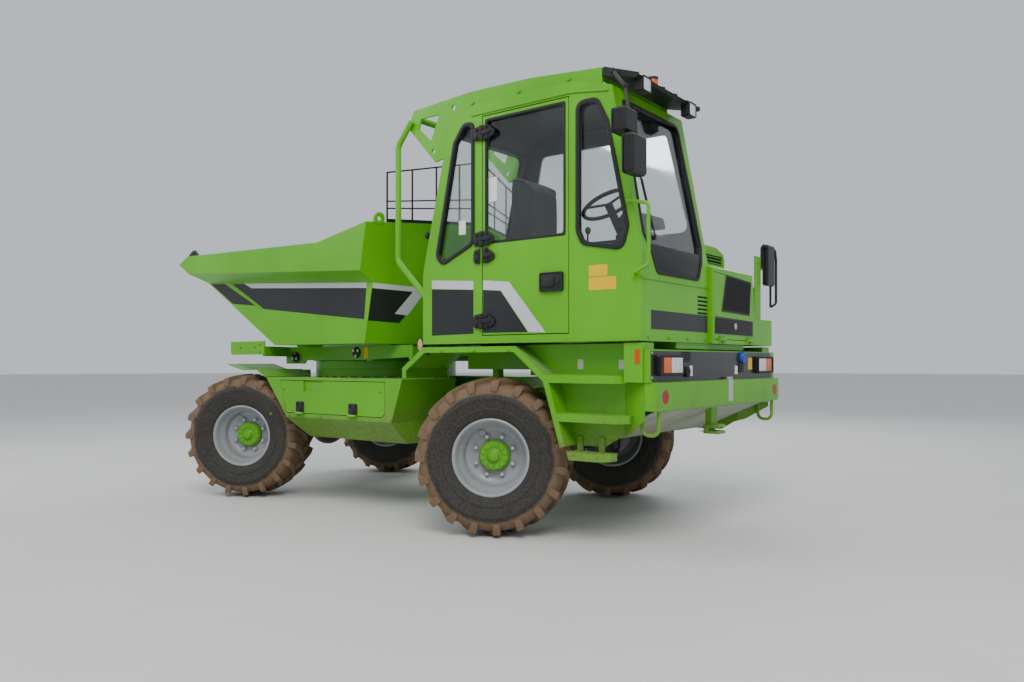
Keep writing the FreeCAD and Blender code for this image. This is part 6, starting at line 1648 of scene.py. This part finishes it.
class DUMPER_OT_hood_trim(bpy.types.Operator):
    """Mesh over a painted shade plate, ribbed strip, intake grille with a painted shade plate in its mouth, and latch
    of the hood
    """
    bl_idname = "dumper.hood_trim"
    bl_label = "Hood trim"

    def execute(self, context):
        field = [(-0.588, 1.758), (-0.150, 1.776), (-0.078, 1.540), (-0.560, 1.532)]
        # The dark plate behind the mesh is painted shade for the opening behind it; the band round it is the mesh's
        # frame.
        back = Shape()
        back.prism(field, -2.4214, -2.4198, "X")
        back.band(grow(field, 0.012), grow(field, -0.002), -2.4240, -2.4198, "X")
        back.piece("hood_mesh_back", "hood_door", "black_plastic", [dark_lining_and_shade()])
        mesh = Shape()
        level = 1.546
        while level < 1.762:
            y0, y1 = span_at(field, level)
            mesh.box((-2.4230, y0, level - 0.0011), (-2.4212, y1, level + 0.0011))
            level += 0.0085
        level = -0.575
        while level < -0.085:
            z0, z1 = span_at(field, level, 0)
            mesh.box((-2.4232, level - 0.0011, z0), (-2.4214, level + 0.0011, z1))
            level += 0.0085
        mesh.piece("hood_mesh", "hood_door", "black_plastic", [black_plastic()])
        strip = [(0.046, 1.490), (-0.640, 1.478), (-0.640, 1.366), (0.052, 1.370)]
        base = Shape()
        base.prism(strip, -2.4216, -2.4198, "X")
        base.piece("hood_strip", "hood_door", "charcoal_paint", [charcoal()])
        rib = Shape()
        rib.prism([(-0.630, 1.376), (-0.630, 1.385), (0.042, 1.385), (0.042, 1.376)], -2.4262, -2.4212, "X")
        row(rib, "hood_strip_ribs", 7, (0, 0, 0.0148), "hood_door", "black_plastic", black_plastic(), 0.0015)
        latch = Shape()
        latch.lathe([(0, 0), (0.024, 0), (0.024, 0.006), (0.012, 0.008), (0.010, 0.006), (0, 0.006)], (-2.4210, -0.300, 1.430),
                    (-1, 0, 0), 28)
        latch.piece("hood_latch", "hood_door", "bright_rod", [zinc()])
        # Dark plate deep in the intake mouth: painted shade inside the opening.
        grille = Shape()
        grille.prism(rect(-0.596, -0.047, 1.9055, 1.9725), -2.1785, -2.1745, "X")
        grille.piece("intake_shade", "chassis", "black_plastic", [dark_lining_and_shade()])
        bar = Shape()
        bar.box((-2.1870, -0.590, 1.906), (-2.1790, -0.586, 1.972))
        row(bar, "intake_bars", 40, (0, 0.0137, 0), "chassis", "black_plastic", black_plastic())
        seam = Shape()
        seam.tube([(-0.800, 0.060, 1.8945), (-2.195, 0.060, 1.8945)], 0.003, steps=8)
        seam.piece("hood_top_seam", "chassis", "black_plastic", [seal_rubber()])
        pins = []
        for y in (-0.060, -0.560):
            for step in (-0.030, 0.030):
                pins.append(((-2.4202, y + step, 1.352), (-1, 0, 0)))
        fasteners("hood_door_bolts", pins, "hood_door", lime(), radius=0.007)
        return {"FINISHED"}


class DUMPER_OT_rear_trim(bpy.types.Operator):
    """Lamps, reflectors, blank plates, horn, filler cap and latch on the rear face"""
    bl_idname = "dumper.rear_trim"
    bl_label = "Rear trim"

    def execute(self, context):
        field = Shape()
        field.prism([(1.000, 1.054), (1.020, 1.080), (1.020, 1.240), (-0.930, 1.246), (-0.968, 1.215), (-0.968, 1.054)],
                    -2.4416, -2.4399, "X")
        field.piece("lamp_field", "chassis", "black_plastic",
                    [paint("Satin black field", (0.012, 0.012, 0.013), rough=0.3, coat=0.3, mud_height=0.7, mud=0.3,
                           dust=0.1, soft_edge=0.0)])
        for tail, way in (("near", 1), ("far", -1)):
            frame = Shape()
            outer = fillet(rect(way * 0.632, way * 0.948, 1.0920, 1.2160), 0.012)
            inner = fillet(rect(way * 0.646, way * 0.934, 1.1060, 1.2020), 0.010)
            frame.band(outer, inner, -2.4705, -2.4630, "X")
            frame.piece("lamp_frame_" + tail, "chassis", "black_plastic", [black_plastic()], 0.002)
            amber_box, clear_box = Shape(), Shape()
            split = way * 0.800
            amber_box.prism(fillet(rect(min(split, way * 0.903), max(split, way * 0.903), 1.107, 1.201), 0.008), -2.4690,
                            -2.4655, "X")
            clear_box.prism(fillet(rect(min(way * 0.647, split - way * 0.004), max(way * 0.647, split - way * 0.004), 1.107,
                                        1.201), 0.008), -2.4690, -2.4655, "X")
            amber_box.piece("indicator_" + tail, "chassis", "glass", [amber()], 0.0015)
            clear_box.piece("headlamp_" + tail, "chassis", "glass", [white_lens()], 0.0015)
            centre = way * 0.720
            bowl = Shape()
            bowl.lathe([(0.030, 0.0), (0.034, 0.0015), (0.038, 0.0), (0.034, -0.001)], (-2.4692, centre, 1.154), (-1, 0, 0),
                       36, closed=True)
            bowl.piece("headlamp_ring_" + tail, "chassis", "bright_rod", [mirror_glass()])
            red = Shape()
            place = 0.905 if way > 0 else -0.936
            red.lathe([(0, 0.0), (0.044, 0.0), (0.044, 0.0004), (0, 0.0009)], (-2.4800, place, 0.962), (-1, 0, 0), 36)
            red.piece("reflector_" + tail, "chassis", "glass", [red_lens()])
        louvre = Shape()
        louvre.plate([(-2.4415, 0.486, 1.174), (-2.4415, 0.612, 1.174), (-2.4480, 0.612, 1.180), (-2.4480, 0.486, 1.180)],
                     (0.0015, 0, 0.0015))
        row(louvre, "panel_louvres", 6, (0, 0, 0.0115), "chassis", "black_plastic", black_plastic())
        horn = Shape()
        horn.lathe([(0, 0), (0.030, 0), (0.034, 0.006), (0.034, 0.016), (0.028, 0.020), (0.010, 0.020), (0.008, 0.014),
                    (0, 0.014)], (-2.4412, 0.545, 1.112), (-1, 0, 0), 32)
        horn.piece("horn", "chassis", "black_plastic", [black_plastic()])
        cap = Shape()
        cap.lathe([(0, 0), (0.041, 0), (0.041, 0.020), (0.037, 0.026), (0.012, 0.027), (0, 0.027)], (-2.4410, -0.369, 1.205),
                  (-1, 0, 0), 36)
        for k in range(18):
            turn = 2 * math.pi * k / 18
            y, z = -0.369 + 0.0405 * math.cos(turn), 1.205 + 0.0405 * math.sin(turn)
            cap.lathe([(0, 0.001), (0.0030, 0.001), (0.0030, 0.021), (0, 0.021)], (-2.4410, y, z), (-1, 0, 0), 8)
        cap.piece("filler_cap", "chassis", "black_plastic", [moulded("Blue cap", (0.010, 0.075, 0.42), rough=0.4)])
        holder = Shape()
        holder.prism(fillet(rect(-0.378, -0.302, 1.100, 1.160), 0.008), -2.4560, -2.4405, "X")
        holder.piece("socket_cover", "chassis", "black_plastic", [black_plastic()], 0.002)
        pale = paint("Blank label", (0.72, 0.74, 0.70), rough=0.45, coat=0.0, mud=0.1, dust=0.05, soft_edge=0.0)
        blanks = Shape()
        blanks.prism(rect(0.452, 0.496, 1.085, 1.150), -2.4423, -2.4415, "X")
        blanks.prism(rect(-0.296, -0.246, 1.088, 1.148), -2.4423, -2.4415, "X")
        blanks.piece("panel_labels", "chassis", "silver_paint", [pale])
        yellow = Shape()
        yellow.prism(rect(-0.571, -0.494, 1.119, 1.205), -2.4423, -2.4415, "X")
        yellow.piece("panel_yellow_plate", "chassis", "green_paint", [yellow_label()])
        latch = Shape()
        latch.prism(rect(-0.125, -0.045, 0.905, 1.0495), -2.4804, -2.4740, "X")
        latch.prism(rect(-0.125, -0.045, 1.0495, 1.0560), -2.4804, -2.4080, "X")
        latch.rod((-2.4680, -0.130, 1.0640), (-2.4680, -0.040, 1.0640), 0.0085)
        latch.piece("bumper_latch", "chassis", "bright_rod", [zinc()], 0.001)
        bolts = [((-2.4400, y, 1.0800), (-1, 0, 0)) for y in (1.008, -1.000)]
        bolts += [((-2.4400, y, 1.228), (-1, 0, 0)) for y in (1.008, -1.000)]
        fasteners("panel_bolts", bolts, "chassis", zinc(), radius=0.0065, height=0.004)
        markers = Shape()
        markers.prism(rect(-2.379, -2.344, 1.161, 1.250), 1.0402, 1.0416)
        markers.prism(rect(-2.379, -2.344, 1.161, 1.250), -1.0416, -1.0402)
        markers.piece("corner_markers", "chassis", "glass", [amber()])
        return {"FINISHED"}


# Lockers, steps and running gear

class DUMPER_OT_lower_body(bpy.types.Operator):
    """Hatch hinges, step teeth, grip strips, fixings of the arches and worn blank labels"""
    bl_idname = "dumper.lower_body"
    bl_label = "Lower body"

    def execute(self, context):
        for side, sign in SIDES:
            hatch = "hatch_" + side
            for number, x in enumerate((0.120, 0.760)):
                leaf = Shape()
                leaf.prism(fillet(rect(x - 0.048, x + 0.048, 0.7665, 0.850), 0.010), sign * 1.0502, sign * 1.0580)
                leaf.prism(fillet(rect(x - 0.020, x + 0.020, 0.7600, 0.800), 0.006), sign * 1.0560, sign * 1.0660)
                leaf.piece("hatch_hinge_%s_%d" % (side, number), hatch, "black_plastic", [black_plastic()], 0.002)
                fasteners("hatch_hinge_bolts_%s_%d" % (side, number),
                          [((x + step, sign * 1.0580, 0.832), (0, sign, 0)) for step in (-0.030, 0.030)],
                          hatch, black_plastic(), radius=0.008, height=0.005)
            fasteners("hatch_bolts_" + side, [((-0.182, sign * 1.0500, 0.950), (0, sign, 0)),
                                              ((0.975, sign * 1.0500, 0.950), (0, sign, 0))],
                      hatch, lime(), radius=0.009)
            # Dark plate at the bottom of the hatch's grip recess: painted shade in the recess.
            shade = Shape()
            shade.prism(fillet(rect(0.486, 0.714, 0.942, 1.014), 0.008), sign * 1.0302, sign * 1.0310)
            shade.piece("hatch_grip_" + side, hatch, "black_plastic", [dark_lining_and_shade()])
            for number, (front, back, top) in enumerate(((-1.680, -2.203, 1.090), (-1.760, -2.215, 0.845),
                                                         (-1.835, -2.083, 0.605))):
                length = front - back - 0.09
                count = int(length / 0.022)
                tooth = Shape()
                x = front - 0.020
                tooth.prism([(x, top - 0.0005), (x - 0.004, top + 0.008), (x - 0.010, top + 0.008), (x - 0.014, top - 0.0005)],
                            min(sign * 1.030, sign * 1.046), max(sign * 1.030, sign * 1.046))
                for y in (0.940, 0.985):
                    tooth.lathe([(0.0085, 0.0), (0.0110, 0.0), (0.0100, 0.0035), (0.0085, 0.0035)],
                                (x - 0.007, sign * y, top - 0.0002), (0, 0, 1), 14, closed=True)
                row(tooth, "step_teeth_%s_%d" % (side, number), count, (-0.022, 0, 0), "chassis", "green_paint",
                    lime_low())
            grip = Shape()
            grip.prism(rect(1.352, 1.552, 0.600, 1.010), 0, 0.0008, "Z")
            grip.moved(Matrix.Translation((0, 0 if sign > 0 else -1.610, 1.1122)))
            grip.piece("fender_grip_" + side, "chassis", "black_plastic",
                       [moulded("Grip strip", (0.20, 0.19, 0.17), rough=0.85, scale=420.0, bump_strength=0.6)])
            liner = Shape()
            liner.prism([(-0.640, 1.120), (-0.640, 1.272), (-1.450, 1.272), (-1.640, 1.120)], sign * 0.562, sign * 0.568)
            liner.piece("arch_liner_" + side, "chassis", "green_paint", [lime_low()])
            arch = []
            for x, z in ((-0.500, 1.2), (-0.800, 1.255), (-1.100, 1.255), (-1.400, 1.255)):
                arch.append(((x, sign * 1.0500, z), (0, sign, 0)))
            fasteners("arch_bolts_" + side, arch, "chassis", lime(), radius=0.009)
            worn = paint("Worn label", (0.60, 0.60, 0.54), rough=0.6, coat=0.0, mud_height=1.3, mud=0.6, dust=0.2,
                         soft_edge=0.0)
            film("wall_labels_" + side, [rect(-1.899, -1.856, 1.128, 1.190), rect(-2.195, -2.160, 1.128, 1.188)], 0.908,
                 "chassis", "silver_paint", worn, sign)
            edge = []
            for x in (-0.30, 0.10, 0.50, 0.90, 1.15):
                edge.append(((x, sign * 1.0500, 0.735), (0, sign, 0)))
            fasteners("box_bolts_" + side, edge, "chassis", lime_low(), radius=0.009)
        for end, axle_x in ENDS:
            cover = Shape()
            face = -1 if end == "rear" else 1
            cover.lathe([(0, 0.0), (0.105, 0.0), (0.105, 0.012), (0.080, 0.040), (0.030, 0.052), (0, 0.053)],
                        (axle_x + face * 0.115, 0.0, AXLE_Z), (face, 0, 0), 40)
            cover.piece("axle_cover_" + end, "chassis", "black_paint", [black_paint()])
            ring = []
            for k in range(10):
                turn = 2 * math.pi * k / 10
                ring.append(((axle_x + face * 0.127, 0.093 * math.cos(turn), AXLE_Z + 0.093 * math.sin(turn)), (face, 0, 0)))
            fasteners("axle_cover_bolts_" + end, ring, "chassis", zinc(), radius=0.009)
        return {"FINISHED"}


# Panel and run

class DUMPER_PT_pieces(bpy.types.Panel):
    """The pieces of the dumper, in the order they are made"""
    bl_idname = "DUMPER_PT_pieces"
    bl_label = "Site dumper"
    bl_space_type = "VIEW_3D"
    bl_region_type = "UI"
    bl_category = "Dumper"

    def draw(self, context):
        for operator in OPERATORS:
            self.layout.operator(operator.bl_idname)
        for group in (context.scene.dumper_colours, context.scene.dumper_tyres, context.scene.dumper_fasteners):
            for key in group.__annotations__:
                self.layout.prop(group, key)


OPERATORS = (DUMPER_OT_stage, DUMPER_OT_paintwork, DUMPER_OT_wheels, DUMPER_OT_skip_trim, DUMPER_OT_turntable_trim,
             DUMPER_OT_cab_trim, DUMPER_OT_cab_inside, DUMPER_OT_roof_and_lamps, DUMPER_OT_mirror_trim,
             DUMPER_OT_hood_trim, DUMPER_OT_rear_trim, DUMPER_OT_lower_body)
GROUPS = (("dumper_colours", DumperColours), ("dumper_tyres", DumperTyres), ("dumper_fasteners", DumperFasteners))


def register():
    for name, group in GROUPS:
        bpy.utils.register_class(group)
        setattr(bpy.types.Scene, name, PointerProperty(type=group))
    for item in OPERATORS + (DUMPER_PT_pieces,):
        bpy.utils.register_class(item)


def unregister():
    for item in reversed(OPERATORS + (DUMPER_PT_pieces,)):
        bpy.utils.unregister_class(item)
    for name, group in reversed(GROUPS):
        delattr(bpy.types.Scene, name)
        bpy.utils.unregister_class(group)


def main():
    register()
    for operator in OPERATORS:
        getattr(bpy.ops.dumper, operator.bl_idname.split(".")[1])()


if __name__ == "__main__":
    main()
